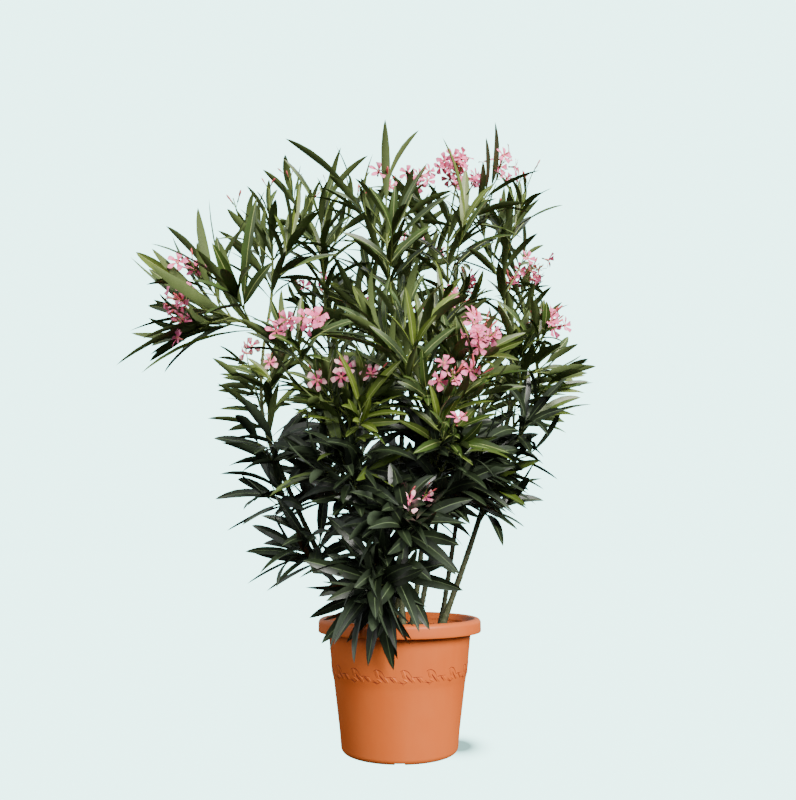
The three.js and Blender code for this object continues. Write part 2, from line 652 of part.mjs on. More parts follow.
function fuseLeaves(mass, fuse) {
  const habit = mass.shape;
  const halfWidth = (habit.width * LEAF_WIDEN) / 2;
  [mass.shoot, ...mass.twigs].forEach((curve, branch) => {
    const reference = referenceAxis(curve);
    const shares = whorlShares(curve, habit);
    const stride = branch === 0 ? habit.stride : TWIG_STRIDE;
    shares.forEach((share, whorl) => {
      if ((shares.length - 1 - whorl) % stride !== 0) return;
      for (let index = 0; index < WHORL; index += 1) {
        const leaf = leafAt(curve, reference, habit, share, [mass.seed, branch, whorl, index]);
        fuseLeaf(leaf, mass, halfWidth, fuse);
      }
    });
  });
}

function makeFoliage(mass) {
  const shootRadius = (share) => between(SHOOT.foot, SHOOT.tip, share);
  const twigRadius = (share) => between(TWIG.foot, TWIG.tip, share);
  const branches = wasm.Manifold.union([
    toSolid(tube(mass.shoot, shootRadius, SHOOT.sides, SHOOT.steps)),
    ...mass.twigs.map((curve) => toSolid(tube(curve, twigRadius, SHOOT.sides, TWIG.steps))),
  ]);
  let fused = biggest(clearOfCarrier(branches, mass.on, mass.at));
  const fuse = (piece) => {
    const joined = fused.add(piece);
    const fits = fused.intersect(piece).volume() < FUSE_LIMIT && wellSpaced(joined)
      && joined.decompose().length === 1;
    if (fits) fused = joined;
    return fits;
  };
  fuseLeaves(mass, fuse);
  fuseBlossom(mass, fuse);
  return fromSolid(fused);
}

// ---- the whole plant ----------------------------------------------------------------------

const materials = {
  pot: new THREE.MeshStandardMaterial({ name: 'pot', color: 0xcf7347, roughness: 0.55, metalness: 0 }),
  soil: new THREE.MeshStandardMaterial({ name: 'soil', color: 0x1d1713, roughness: 0.95, metalness: 0 }),
  stem: new THREE.MeshStandardMaterial({ name: 'stem', color: 0x5b5238, roughness: 0.8, metalness: 0 }),
  bough: new THREE.MeshStandardMaterial({ name: 'bough', color: 0x6f7a3e, roughness: 0.7, metalness: 0 }),
  young: new THREE.MeshStandardMaterial({ name: 'young', color: 0x4b6f33, roughness: 0.5, metalness: 0 }),
  old: new THREE.MeshStandardMaterial({ name: 'old', color: 0x1f3524, roughness: 0.45, metalness: 0 }),
};

const plant = new THREE.Group();

function add(name, geometry, material) {
  const mesh = new THREE.Mesh(geometry, materials[material]);
  mesh.name = name;
  plant.add(mesh);
}

STEMS.forEach(addStem);
BOUGHS.forEach(addBough);
masses.forEach(growShoot);
masses.forEach(growTwigs);

add('pot', makePot(), 'pot');
add('soil', makeSoil(), 'soil');
STEMS.forEach(({ name }) => add(name, makeLimb(name), 'stem'));
BOUGHS.forEach(({ name }) => add(name, makeLimb(name), 'bough'));
masses.forEach((mass) => add(mass.name, makeFoliage(mass), mass.habit));

export default plant;
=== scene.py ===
"""A potted oleander: canes, boughs, leafy shoots and pink blossom in a terracotta plastic pot.

Metres, +Z up, +Y to the back. The origin is the centre of the pot's flat underside.
"""

import functools
import math

import bpy
import numpy as np
from mathutils import Matrix, Vector


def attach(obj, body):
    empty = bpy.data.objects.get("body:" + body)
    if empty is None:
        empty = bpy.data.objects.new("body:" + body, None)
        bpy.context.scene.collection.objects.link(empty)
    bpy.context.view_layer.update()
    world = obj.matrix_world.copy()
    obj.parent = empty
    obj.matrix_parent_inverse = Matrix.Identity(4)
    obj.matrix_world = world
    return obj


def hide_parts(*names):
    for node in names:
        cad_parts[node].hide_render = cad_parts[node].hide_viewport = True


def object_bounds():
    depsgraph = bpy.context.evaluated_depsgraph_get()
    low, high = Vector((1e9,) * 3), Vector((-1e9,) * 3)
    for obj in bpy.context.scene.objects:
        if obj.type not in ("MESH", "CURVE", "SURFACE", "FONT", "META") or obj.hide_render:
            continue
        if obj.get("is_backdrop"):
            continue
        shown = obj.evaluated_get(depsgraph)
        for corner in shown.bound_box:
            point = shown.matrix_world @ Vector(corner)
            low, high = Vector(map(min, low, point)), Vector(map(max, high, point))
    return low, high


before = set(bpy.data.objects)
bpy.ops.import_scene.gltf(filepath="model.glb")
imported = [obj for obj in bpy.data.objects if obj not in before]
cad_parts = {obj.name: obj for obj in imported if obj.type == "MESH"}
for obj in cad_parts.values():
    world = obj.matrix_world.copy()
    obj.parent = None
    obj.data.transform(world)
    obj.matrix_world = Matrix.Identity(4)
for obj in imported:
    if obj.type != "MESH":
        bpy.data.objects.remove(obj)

bl_info = {
    "name": "Potted oleander",
    "version": (1, 0, 0),
    "blender": (4, 5, 0),
    "location": "View3D > Sidebar > Oleander",
    "description": "Builds an oleander bush with its canes, leaves and blossom in a plastic pot",
    "category": "Add Mesh",
}

CAD_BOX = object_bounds()
LEAF_MARGIN = (0.026, 0.024, 0.038)     # how far a leaf may pass the part's box
BOX_LOW = np.array(CAD_BOX[0]) - LEAF_MARGIN
BOX_HIGH = np.array(CAD_BOX[1]) + LEAF_MARGIN

# ---- the plant's plan ----

SOIL_TOP = 0.2475
GAP = 0.0003               # between pieces that meet

# Stems: name, foot and fork, each by heading (degrees from +X, seen from above), distance from
# the pot's axis and, for the fork, height; then how far the middle bows outwards, and the girth.
STEMS = (
    ("stem_right", (0, 0.088), (0, 0.238, 0.684), 0.014, 0.0086),
    ("stem_right_inner", (22, 0.097), (20, 0.172, 0.690), 0.004, 0.0074),
    ("stem_left", (187, 0.088), (184, 0.286, 0.640), 0.016, 0.0086),
    ("stem_front_left", (241, 0.051), (236, 0.181, 0.619), 0.010, 0.0082),
    ("stem_front_right", (293, 0.065), (298, 0.136, 0.602), 0.006, 0.0080),
    ("stem_front", (262, 0.095), (271, 0.196, 0.425), 0.014, 0.0064),
    ("stem_back_left", (132, 0.067), (135, 0.212, 0.650), 0.010, 0.0082),
    ("stem_back_right", (56, 0.072), (55, 0.208, 0.660), 0.010, 0.0082),
    ("stem_centre", (63, 0.011), (83, 0.040, 0.800), 0.000, 0.0094),
)
STEM_FLARE = 0.45
STEM_FLARE_HEIGHT = 0.060
STEM_TIP_SHARE = 0.68

# Boughs: name, the stem that carries them, where along it (1 is its tip), and where they end.
BOUGHS = (
    ("bough_far_left", "stem_front_left", 0.86, (215, 0.335, 0.838)),
    ("bough_left", "stem_left", 1, (188, 0.300, 0.930)),
    ("bough_front_left", "stem_front_left", 1, (225, 0.262, 0.765)),
    ("bough_front", "stem_front_right", 1, (277, 0.232, 0.715)),
    ("bough_front_right", "stem_front_right", 0.84, (303, 0.205, 0.700)),
    ("bough_centre", "stem_centre", 1, (255, 0.060, 0.960)),
    ("bough_centre_back", "stem_centre", 0.9, (88, 0.150, 0.950)),
    ("bough_back_left", "stem_back_left", 0.84, (156, 0.192, 0.950)),
    ("bough_back_left_low", "stem_back_left", 1, (127, 0.296, 0.850)),
    ("bough_right_inner", "stem_right_inner", 1, (3, 0.128, 0.945)),
    ("bough_right", "stem_right", 1, (10, 0.258, 0.940)),
    ("bough_right_low", "stem_right", 0.88, (345, 0.262, 0.745)),
    ("bough_back_right", "stem_back_right", 0.84, (26, 0.296, 0.850)),
    ("bough_back_right_low", "stem_back_right", 1, (62, 0.285, 0.850)),
)
BOUGH_FOOT, BOUGH_TIP = 0.0054, 0.0039

# Foliage: name, the limb that carries the mass, where along it, where its main shoot ends, its
# blooms and bud spikes, and how far beyond the crown it may lean, as a share.
YOUNG_FOLIAGE = (
    ("foliage_far_left", "bough_far_left", 1, (211, 0.486, 0.893), 4, 0, 1.46),
    ("foliage_left_top", "bough_left", 1, (193, 0.306, 1.172), 0, 3, 1.08),
    ("foliage_back_left_top", "bough_back_left", 1, (164, 0.188, 1.245), 0, 3, 1),
    ("foliage_centre_top", "bough_centre", 1, (256, 0.122, 1.205), 1, 0, 1),
    ("foliage_right_inner_top", "bough_right_inner", 1, (343, 0.140, 1.262), 7, 0, 1),
    ("foliage_right_top", "bough_right", 1, (11, 0.285, 1.260), 0, 4, 1.06),
    ("foliage_back_right_top", "bough_back_right", 1, (22, 0.350, 1.080), 4, 0, 1),
    ("foliage_right_mid", "bough_right_low", 1, (344, 0.330, 0.880), 3, 0, 1),
    ("foliage_right_side", "stem_right", 0.93, (359, 0.345, 0.795), 0, 0, 1),
    ("foliage_front", "bough_front", 1, (272, 0.292, 0.860), 0, 0, 1),
    ("foliage_front_right", "bough_front_right", 1, (307, 0.262, 0.830), 6, 0, 1),
    ("foliage_front_low_right", "stem_front_right", 0.93, (290, 0.272, 0.728), 4, 0, 1),
    ("foliage_front_left", "bough_front_left", 1, (231, 0.315, 0.850), 5, 0, 1),
    ("foliage_front_mid_left", "stem_front_left", 0.93, (247, 0.268, 0.750), 4, 0, 1),
    ("foliage_back_left_high", "bough_back_left_low", 1, (127, 0.330, 1.085), 3, 0, 1),
    ("foliage_back_top", "bough_centre_back", 1, (84, 0.245, 1.215), 2, 0, 1),
    ("foliage_back_right_high", "bough_back_right_low", 1, (57, 0.325, 1.075), 3, 0, 1),
    ("foliage_left_side", "stem_left", 0.94, (169, 0.368, 0.855), 2, 0, 1),
    ("foliage_back_right_side", "stem_back_right", 0.94, (40, 0.350, 0.830), 1, 0, 1),
    ("foliage_middle_left", "stem_centre", 0.94, (170, 0.105, 1.000), 0, 0, 1),
    ("foliage_middle_right", "stem_centre", 0.82, (350, 0.110, 0.960), 2, 0, 1),
)
OLD_FOLIAGE = (
    ("foliage_left_mid", "stem_left", 0.86, (198, 0.318, 0.640), 0, 0, 0.96),
    ("foliage_left_low", "stem_left", 0.66, (190, 0.272, 0.530), 0, 0, 1.26),
    ("foliage_left_lowest", "stem_left", 0.36, (203, 0.208, 0.425), 0, 0, 1.3),
    ("foliage_front_left_mid", "stem_front_left", 0.72, (240, 0.232, 0.600), 0, 0, 1),
    ("foliage_front_right_mid", "stem_front_right", 0.72, (300, 0.222, 0.630), 0, 0, 1),
    ("foliage_front_hanging", "stem_front", 0.62, (257, 0.236, 0.360), 0, 0, 1.9),
    ("foliage_front_low", "stem_front", 1, (272, 0.240, 0.500), 2, 0, 1.25),
    ("foliage_right_low", "stem_right", 0.78, (351, 0.295, 0.695), 0, 0, 1),
    ("foliage_right_lowest", "stem_right", 0.50, (346, 0.206, 0.520), 0, 0, 0.96),
    ("foliage_right_inner_low", "stem_right_inner", 0.62, (335, 0.168, 0.630), 0, 0, 1),
    ("foliage_back_left_low", "stem_back_left", 0.66, (143, 0.262, 0.602), 0, 0, 1),
    ("foliage_back_right_low", "stem_back_right", 0.66, (48, 0.258, 0.610), 0, 0, 1),
    ("foliage_back_low", "stem_centre", 0.42, (95, 0.165, 0.560), 0, 0, 1),
    ("foliage_heart", "stem_centre", 0.7, (200, 0.120, 0.780), 0, 0, 1),
)

# The crown as a whole is an egg: leaf tips stay inside it, but for a spray that leans out. A
# higher round makes an end blunter.
CROWN_WIDEST, CROWN_TOP, CROWN_BOTTOM, CROWN_RADIUS = 0.88, 1.408, 0.11, 0.436
CROWN_TOP_ROUND, CROWN_BOTTOM_ROUND = 3, 1.3

# How the leaves of a habit stand: whorl spacing, leaf length and width, the angle off the shoot
# at its foot and at its tip, how far the leaf curls back and sags, then where the shoot forks, how
# wide, and how long its side twigs are. A sprig is one of the last, finest twigs.
HABIT_TERMS = ("spacing", "leaf", "width", "open_low", "open_high", "curl", "sag", "forks",
               "fork_open", "fork_length")
HABITS = {name: dict(zip(HABIT_TERMS, row)) for name, row in {
    "young": (0.03, 0.158, 0.017, 66, 26, 0.08, 0.04, (0.3, 0.6), 34, 0.6),
    "old": (0.028, 0.172, 0.021, 100, 40, 0.08, 0.14, (0.25, 0.6), 46, 0.62),
    "young_sprig": (0.022, 0.104, 0.015, 58, 22, 0.08, 0.03, (0.52,), 36, 0.52),
    "old_sprig": (0.022, 0.135, 0.02, 88, 40, 0.08, 0.12, (0.45,), 50, 0.58),
}.items()}
WHORL, WHORL_STEP = 3, 0.004        # leaves of a whorl, and the distance between their feet
# Masses that grow loose twigs and sprigs as well, beside those of the middle zone.
FULL_MASSES = ("foliage_far_left", "foliage_back_left_high", "foliage_back_right_high",
               "foliage_back_right_side", "foliage_left_side", "foliage_right_mid")
TWIG_ROOM = 0.011          # a side twig stays this far off the limbs
LOOSE_ROOM = 0.004         # and a finer one this far

TRUSS_OPEN, TRUSS_STEP = math.radians(58), 0.005        # half the dome, and between stalks
BLOOM_REACH = 0.026        # from the foot of a bloom's stalk to its throat
# How many more blooms than the plan's a truss opens, as a share of them, where it isn't 0.2.
FULL_TRUSSES = {
    "foliage_right_inner_top": 3.8, "foliage_far_left": 0.9, "foliage_front_right": 1.1,
    "foliage_back_right_top": 1.5, "foliage_right_mid": 1.2, "foliage_back_left_high": 0.8,
    "foliage_front_low_right": 0.1, "foliage_front_low": 0.0, "foliage_front_mid_left": 0.0,
    "foliage_front": 0.0,
}
# Masses whose blossom is fading.
BLUSHING = ("foliage_front_mid_left", "foliage_front_low", "foliage_left_side")
WINDOW = np.array((0.3, -0.92, 0.25))      # the side most light comes from
GOLDEN_ANGLE = math.radians(137.5)

# ---- small helpers ----


def unit(vectors):
    """Vectors at length 1."""
    return vectors / np.maximum(np.linalg.norm(vectors, axis=-1, keepdims=True), 1e-12)


def place(heading, reach, height):
    """A point from its heading in degrees, its distance from the pot's axis and its height."""
    turn = math.radians(heading)
    return np.array((reach * math.cos(turn), reach * math.sin(turn), height))


def chance(*keys):
    """A fixed number between 0 and 1 for each set of whole-number keys."""
    state = 1
    for key in keys:
        state = (state * 48271 + key * 7919 + 12345) % 2147483647
    state = (state * 48271) % 2147483647
    return ((state * 48271) % 2147483647) / 2147483647


def between(low, high, share):
    """The value a share of the way from low to high."""
    return low + (high - low) * share


def drawn(low, high, *keys):
    """A fixed number between low and high for each set of keys."""
    return between(low, high, chance(*keys))


class Curve:
    """A quadratic curve from a start, drawn by a bend, to an end."""

    def __init__(self, start, bend, end):
        self.start, self.bend, self.end = (np.asarray(p, float) for p in (start, bend, end))

    def at(self, share):
        s = np.asarray(share, float)[..., None]
        return (1 - s) ** 2 * self.start + 2 * s * (1 - s) * self.bend + s * s * self.end

    def heading(self, share):
        s = np.asarray(share, float)[..., None]
        return unit((1 - s) * (self.bend - self.start) + s * (self.end - self.bend))

    def length(self):
        steps = np.diff(self.at(np.linspace(0, 1, 101)), axis=0)
        return float(np.linalg.norm(steps, axis=1).sum())

    def reference(self):
        """The axis that lies furthest off the chord: rings and whorls are turned from it."""
        axis = np.zeros(3)
        axis[np.argmin(np.abs(self.end - self.start))] = 1
        return axis


def square_to(heading, reference):
    """Two directions square to the heading."""
    across = unit(np.cross(reference, heading))
    return across, np.cross(heading, across)


def line_distances(points, line):
    """Distance of each point to each stretch of a line through several points."""
    start = line[:-1]
    step = line[1:] - start
    away = points[:, None, :] - start
    share = np.clip((away * step).sum(-1) / (step * step).sum(-1), 0, 1)
    return np.linalg.norm(away - share[..., None] * step, axis=-1)


# ---- the growing rule ----


class Limb:
    """A stem or bough: its curve, its radius along it, and what carries it."""

    def __init__(self, curve, radius_at, carrier=None, at=0):
        self.curve, self.radius_at, self.carrier, self.at = curve, radius_at, carrier, at
        self.line = curve.at(np.linspace(0, 1, 13))


class Mass:
    """A mass of foliage: its main shoot, its side twigs and its finer, looser twigs."""

    def __init__(self, row, habit, seed):
        self.name, self.on, self.at, self.tip, self.blooms, self.buds, self.beyond = row
        self.habit, self.seed = habit, seed
        self.twigs, self.loose, self.sprigs, self.lines = [], [], [], []
        self.full = 0.55 < self.tip[2] < 0.95 and self.tip[1] < 0.29
        self.full |= self.on == "stem_front" or self.name in FULL_MASSES


def stem_radius(girth, length):
    """A stem's radius along it, with its flare and taper."""

    def radius_at(share):
        flare = np.maximum(0, 1 - share * length / STEM_FLARE_HEIGHT)
        return girth * (between(1, STEM_TIP_SHARE, share) + STEM_FLARE * flare * flare)

    return radius_at


def bough_radius(share):
    return between(BOUGH_FOOT, BOUGH_TIP, share)


def side_curve(carrier, at, tip):
    """The curve of a bough or shoot: straight on from a limb's tip, or out of its side."""
    heading = carrier.curve.heading(at)
    start = carrier.curve.at(at)
    chord = unit(tip - start)
    span = float(np.linalg.norm(tip - start))
    if at == 1:
        start = start + GAP * heading
        lead = heading
    else:
        lead = unit(between(chord, heading, 0.1))
    return Curve(start, start + 0.4 * span * lead, tip)


def crown_radius(height):
    """How far from the pot's axis the crown reaches at a height."""
    above = height > CROWN_WIDEST
    share = (height - CROWN_WIDEST) / ((CROWN_TOP if above else CROWN_BOTTOM) - CROWN_WIDEST)
    blunt = CROWN_TOP_ROUND if above else CROWN_BOTTOM_ROUND
    return CROWN_RADIUS * math.sqrt(max(0, 1 - share**blunt))


class Plant:
    """All limbs and masses, grown by the rule that the solids follow."""

    def __init__(self):
        self.limbs = {}
        for name, foot, fork, bow, girth in STEMS:
            start, end = place(*foot, SOIL_TOP + GAP), place(*fork)
            outward = unit((end - start) * (1, 1, 0))
            curve = Curve(start, between(start, end, 0.5) + outward * bow, end)
            self.limbs[name] = Limb(curve, stem_radius(girth, curve.length()))
        for name, on, at, tip in BOUGHS:
            curve = side_curve(self.limbs[on], at, place(*tip))
            self.limbs[name] = Limb(curve, bough_radius, on, at)
        limbs = self.limbs.values()
        self.limb_starts = np.concatenate([limb.line[:-1] for limb in limbs])
        self.limb_steps = np.concatenate([np.diff(limb.line, axis=0) for limb in limbs])
        self.limb_rooms = np.repeat([float(limb.radius_at(0.3)) for limb in limbs], 12)
        rows = [(row, "young") for row in YOUNG_FOLIAGE] + [(row, "old") for row in OLD_FOLIAGE]
        self.masses = [Mass(row, habit, index + 1) for index, (row, habit) in enumerate(rows)]
        for mass in self.masses:
            mass.shoot = side_curve(self.limbs[mass.on], mass.at, place(*mass.tip))
            mass.lines.append(mass.shoot.at(np.linspace(0, 1, 7)))
        for mass in self.masses:
            self.grow_twigs(mass)

    def clear_of_limbs(self, points, room):
        """Whether every point keeps its distance from the limbs' bark."""
        away = points[:, None, :] - self.limb_starts
        share = (away * self.limb_steps).sum(-1) / (self.limb_steps**2).sum(-1)
        away = away - np.clip(share, 0, 1)[..., None] * self.limb_steps
        clearance = np.linalg.norm(away, axis=-1) - self.limb_rooms
        return bool((clearance >= np.asarray(room).reshape(-1, 1)).all())

    def in_crown(self, point, mass, share):
        """Whether a point lies within a share of the crown, as far as its mass may lean."""
        reach = crown_radius(point[2]) * share * mass.beyond
        return math.hypot(point[0], point[1]) < reach

    def side_twigs(self, shoot, habit, seed):
        """Side twigs leave a shoot in pairs at its forks, turned from fork to fork."""
        length = shoot.length()
        for fork, share in enumerate(habit["forks"]):
            start, heading = shoot.at(share), shoot.heading(share)
            across, upward = square_to(heading, shoot.reference())
            for pair in range(2):
                turn = math.radians(fork * 75 + pair * 180 + 50 * chance(seed, fork, pair, 1))
                spread = math.radians(habit["fork_open"] + 10 * chance(seed, fork, pair, 2))
                reach = length * habit["fork_length"] * drawn(0.75, 1, seed, fork, pair, 3)
                outward = across * math.cos(turn) + upward * math.sin(turn)
                lead = heading * math.cos(spread) + outward * math.sin(spread)
                bend = start + lead * 0.5 * reach
                yield Curve(start, bend, bend + unit(lead + 0.5 * heading) * 0.5 * reach)

    def grow_twigs(self, mass):
        """Side twigs with room on all sides, looser ones that only clear the limbs, and sprigs."""
        for curve in self.side_twigs(mass.shoot, HABITS[mass.habit], mass.seed):
            line = curve.at(np.linspace(0, 1, 7))
            if not self.in_crown(curve.end, mass, 0.86):
                continue
            others = [old for other in self.masses if other is not mass for old in other.lines]
            apart = all(line_distances(line[1:], old).min() > 2 * TWIG_ROOM for old in others)
            if apart and self.clear_of_limbs(line[1:], TWIG_ROOM):
                mass.twigs.append(curve)
                mass.lines.append(line)
            elif mass.full and self.clear_of_limbs(line[1:], LOOSE_ROOM):
                mass.loose.append(curve)
        habit = HABITS[mass.habit + "_sprig"]
        for index, twig in enumerate((mass.twigs + mass.loose) if mass.full else ()):
            for curve in self.side_twigs(twig, habit, 100 * mass.seed + index):
                line = curve.at(np.linspace(0, 1, 5))
                if self.in_crown(curve.end, mass, 0.9) and self.clear_of_limbs(line[1:], LOOSE_ROOM):
                    mass.sprigs.append(curve)

    def branches(self, mass):
        """Every leafy branch of a mass: its number, its curve, its habit and its rank."""
        for first, curves, habit, rank in (
            (0, [mass.shoot], mass.habit, "shoot"), (1, mass.twigs, mass.habit, "twig"),
            (20, mass.loose, mass.habit, "twig"), (40, mass.sprigs, mass.habit + "_sprig", "sprig"),
        ):
            for index, curve in enumerate(curves):
                yield first + index, curve, habit, rank


def whorl_shares(curve, habit):
    """Where the whorls stand along a branch."""
    count = max(2, round(curve.length() * 0.86 / habit["spacing"]))
    return [between(0.14, 1, (index + 1) / count) for index in range(count)]


# Shares of the leaf's angle and length, and the degrees that it turns round the shoot, in turn.
LEAF_TRIES = (
    (1, 1, 0), (0.75, 1, 0), (1, 0.9, 25), (1, 0.9, -25), (0.7, 0.85, 0),
    (0.85, 0.7, 30), (0.85, 0.7, -30), (0.5, 0.75, 0), (0.7, 0.6, 0),
)
PROBE_SHARES = np.array((0.2, 0.4, 0.6, 0.8, 1.0))


def leaf_line(plant, mass, curve, habit, share, keys):
    """Foot, middle and tip of a leaf's midrib with its directions, or None if it has no room."""
    whorl, index = keys[2:]
    heading = curve.heading(share)
    across, upward = square_to(heading, curve.reference())
    turn = math.radians(whorl * 60 + index * 120 + 26 * chance(*keys, 1))
    spread = math.radians(
        between(habit["open_low"], habit["open_high"], share) + 16 * (chance(*keys, 2) - 0.5)
    )
    foot = curve.at(share) - heading * WHORL_STEP * (index + 0.5)
    length = habit["leaf"] * drawn(0.82, 1.08, *keys, 3) * between(1, 0.86, share)
    curl = habit["curl"] * drawn(0.4, 1.6, *keys, 4)
    sag = habit["sag"] * drawn(0.5, 1.5, *keys, 5)
    crown_share = drawn(0.84, 1, *keys, 6)
    half = habit["width"] / 2
    for open_share, length_share, aside in LEAF_TRIES:
        way = turn + math.radians(aside)
        outward = across * math.cos(way) + upward * math.sin(way)
        along = heading * math.cos(spread * open_share) + outward * math.sin(spread * open_share)
        facing = unit(heading - along * float(along @ heading))
        reach = length * length_share
        middle = foot + along * 0.45 * reach + facing * 0.02 * reach
        tip = foot + along * reach - facing * curl * reach - np.array((0, 0, sag * reach))
        if not plant.in_crown(tip, mass, crown_share):
            continue
        low = between(foot, middle, PROBE_SHARES[1:, None])
        high = between(middle, tip, PROBE_SHARES[:, None])
        rooms = np.concatenate([half * PROBE_SHARES[1:], half * (1 - PROBE_SHARES)])
        if plant.clear_of_limbs(np.concatenate([low, high]), rooms * 0.5 + 0.001):
            return foot, middle, tip, np.cross(along, facing), reach
    return None


@functools.cache
def grown():
    """The plant, grown once."""
    return Plant()


# ---- meshes from arrays ----


class Heap:
    """Points and faces of one kind of thing, gathered into one mesh."""

    def __init__(self):
        self.points, self.corners, self.sizes, self.slots, self.rims = [], [], [], [], []
        self.count = 0

    def add(self, points, faces, slots=0, rim=None):
        """Faces are rows of point numbers, all of one length, or a list of such arrays. Edges
        between points of the rim stay sharp."""
        points = np.asarray(points, float).reshape(-1, 3)
        blocks = faces if isinstance(faces, list) else [faces]
        self.points.append(points)
        self.corners += [(block + self.count).ravel() for block in blocks]
        self.sizes += [np.full(len(block), block.shape[1]) for block in blocks]
        self.slots.append(np.broadcast_to(slots, (sum(map(len, blocks)),)))
        self.rims.append(np.zeros(len(points), bool) if rim is None else rim)
        self.count += len(points)

    def show(self, name, *materials):
        """Puts all that was gathered in the scene as a piece."""
        return show(name, self.mesh(name, materials))

    def mesh(self, name, materials):
        """All that was gathered, as one smooth mesh."""
        corners = np.concatenate(self.corners)
        sizes = np.concatenate(self.sizes)
        mesh = bpy.data.meshes.new(name)
        mesh.vertices.add(self.count)
        mesh.vertices.foreach_set("co", np.concatenate(self.points).astype(np.float32).ravel())
        mesh.loops.add(len(corners))
        mesh.loops.foreach_set("vertex_index", corners.astype(np.int32))
        mesh.polygons.add(len(sizes))
        starts = np.concatenate([[0], np.cumsum(sizes)[:-1]])
        mesh.polygons.foreach_set("loop_start", starts.astype(np.int32))
        for material in materials:
            mesh.materials.append(material)
        mesh.polygons.foreach_set("material_index", np.concatenate(self.slots).astype(np.int32))
        mesh.polygons.foreach_set("use_smooth", np.ones(len(sizes), bool))
        mesh.update(calc_edges=True)
        rims = np.concatenate(self.rims)
        if rims.any():
            ends = np.empty(2 * len(mesh.edges), np.int32)
            mesh.edges.foreach_get("vertices", ends)
            mesh.edges.foreach_set("use_edge_sharp", rims[ends.reshape(-1, 2)].all(axis=1))
        return mesh


def show(name, data):
    """Puts a finished mesh in the scene as a piece, or a light or camera."""
    piece = bpy.data.objects.new(name, data)
    bpy.context.scene.collection.objects.link(piece)
    return piece


def sheet_faces(rows, columns):
    """Faces of a grid of points that are numbered row by row."""
    corner = np.arange(rows - 1)[:, None] * columns + np.arange(columns - 1)
    return np.stack([corner, corner + columns, corner + columns + 1, corner + 1], -1).reshape(-1, 4)


def add_rings(heap, rings, caps, slot=0):
    """A closed skin over rings of points, with one more point in the middle of each end. It faces
    outwards where the rings turn anticlockwise about the way they advance."""
    count, sides = rings.shape[:2]
    row = np.arange(count - 1)[:, None] * sides
    side = np.arange(sides)
    after = (side + 1) % sides
    walls = np.stack([row + side, row + after, row + after + sides, row + side + sides], -1)
    last, middle = (count - 1) * sides, np.full(sides, count * sides)
    foot = np.stack([after, side, middle], -1)
    lid = np.stack([last + side, last + after, middle + 1], -1)
    heap.add(np.concatenate([rings.reshape(-1, 3), caps]),
             [walls.reshape(-1, 4), np.concatenate([foot, lid])], slot)


def turned(profile, angles):
    """Rings of a turned shape from its profile, as radius and height."""
    radius, height = profile[:, None, 0], profile[:, None, 1]
    flat = radius * np.cos(angles), radius * np.sin(angles)
    return np.stack([*flat, np.broadcast_to(height, flat[0].shape)], -1)


def add_tube(heap, curve, shares, radii, sides, level_foot=False):
    """A closed tube along a curve; radii has one value a ring, or one a ring and side."""
    centres = curve.at(shares)
    headings = curve.heading(shares)
    if level_foot:
        headings[0] = (0, 0, 1)
    across, upward = square_to(headings, curve.reference())
    angles = np.arange(sides) / sides * 2 * math.pi
    radii = np.broadcast_to(np.asarray(radii, float).reshape(len(centres), -1), (len(centres), sides))
    rings = centres[:, None] + radii[..., None] * (
        across[:, None] * np.cos(angles)[None, :, None]
        + upward[:, None] * np.sin(angles)[None, :, None]
    )
    add_rings(heap, rings, centres[[0, -1]])


# ---- materials ----

COLOUR, NUMBER, VECTOR = "NodeSocketColor", "NodeSocketFloat", "NodeSocketVector"
GEOMETRY, OBJECT = "NodeSocketGeometry", "NodeSocketObject"
MATERIAL, WHOLE = "NodeSocketMaterial", "NodeSocketInt"


def feed(tree, socket, value):
    """Feeds a socket with another socket, or with a value of its own kind."""
    if isinstance(value, bpy.types.NodeSocket):
        tree.links.new(value, socket)
    else:
        socket.default_value = (*value, 1) if socket.type == "RGBA" else value


def add_node(tree, kind, feeds=(), **settings):
    """Adds a node; feeds are pairs of an input and the socket or value that feeds it."""
    node = tree.nodes.new(kind)
    for label, value in settings.items():
        setattr(node, label, value)
    for socket, value in feeds:
        feed(tree, node.inputs[socket], value)
    return node


def add_sockets(tree, inputs, outputs):
    """Gives a tree its sockets, and returns its in and out nodes."""
    for label, kind, *default in inputs:
        socket = tree.interface.new_socket(label, in_out="INPUT", socket_type=kind)
        if default:
            socket.default_value = default[0]
    for label, kind in outputs:
        tree.interface.new_socket(label, in_out="OUTPUT", socket_type=kind)
    return tree.nodes.new("NodeGroupInput"), tree.nodes.new("NodeGroupOutput")


def new_group(name, *inputs):
    """An empty shader node group that gives a colour, a roughness and a relief, with its in and
    out nodes. Its first input is the place on the piece."""
    group = bpy.data.node_groups.new(name, "ShaderNodeTree")
    outputs = (("Colour", COLOUR), ("Roughness", NUMBER), ("Relief", NUMBER))
    return group, *add_sockets(group, (("Place", VECTOR), *inputs), outputs)


def give(group, end, *results):
    """Ends an effect with its colour, roughness and relief."""
    for socket, result in zip(end.inputs, results):
        feed(group, socket, result)
    return group


def noise_node(tree, place, scale, detail=3.0, stretch=None):
    """A noise pattern on a place; stretch widens it along each axis."""
    if stretch:
        feeds = (("Vector", place), ("Scale", stretch))
        place = add_node(tree, "ShaderNodeMapping", feeds).outputs["Vector"]
    feeds = (("Vector", place), ("Scale", scale), ("Detail", detail))
    return add_node(tree, "ShaderNodeTexNoise", feeds).outputs["Fac"]


def cell_node(tree, place, scale):
    """The distance to the nearest of many scattered dots."""
    feeds = (("Vector", place), ("Scale", scale))
    return add_node(tree, "ShaderNodeTexVoronoi", feeds).outputs["Distance"]


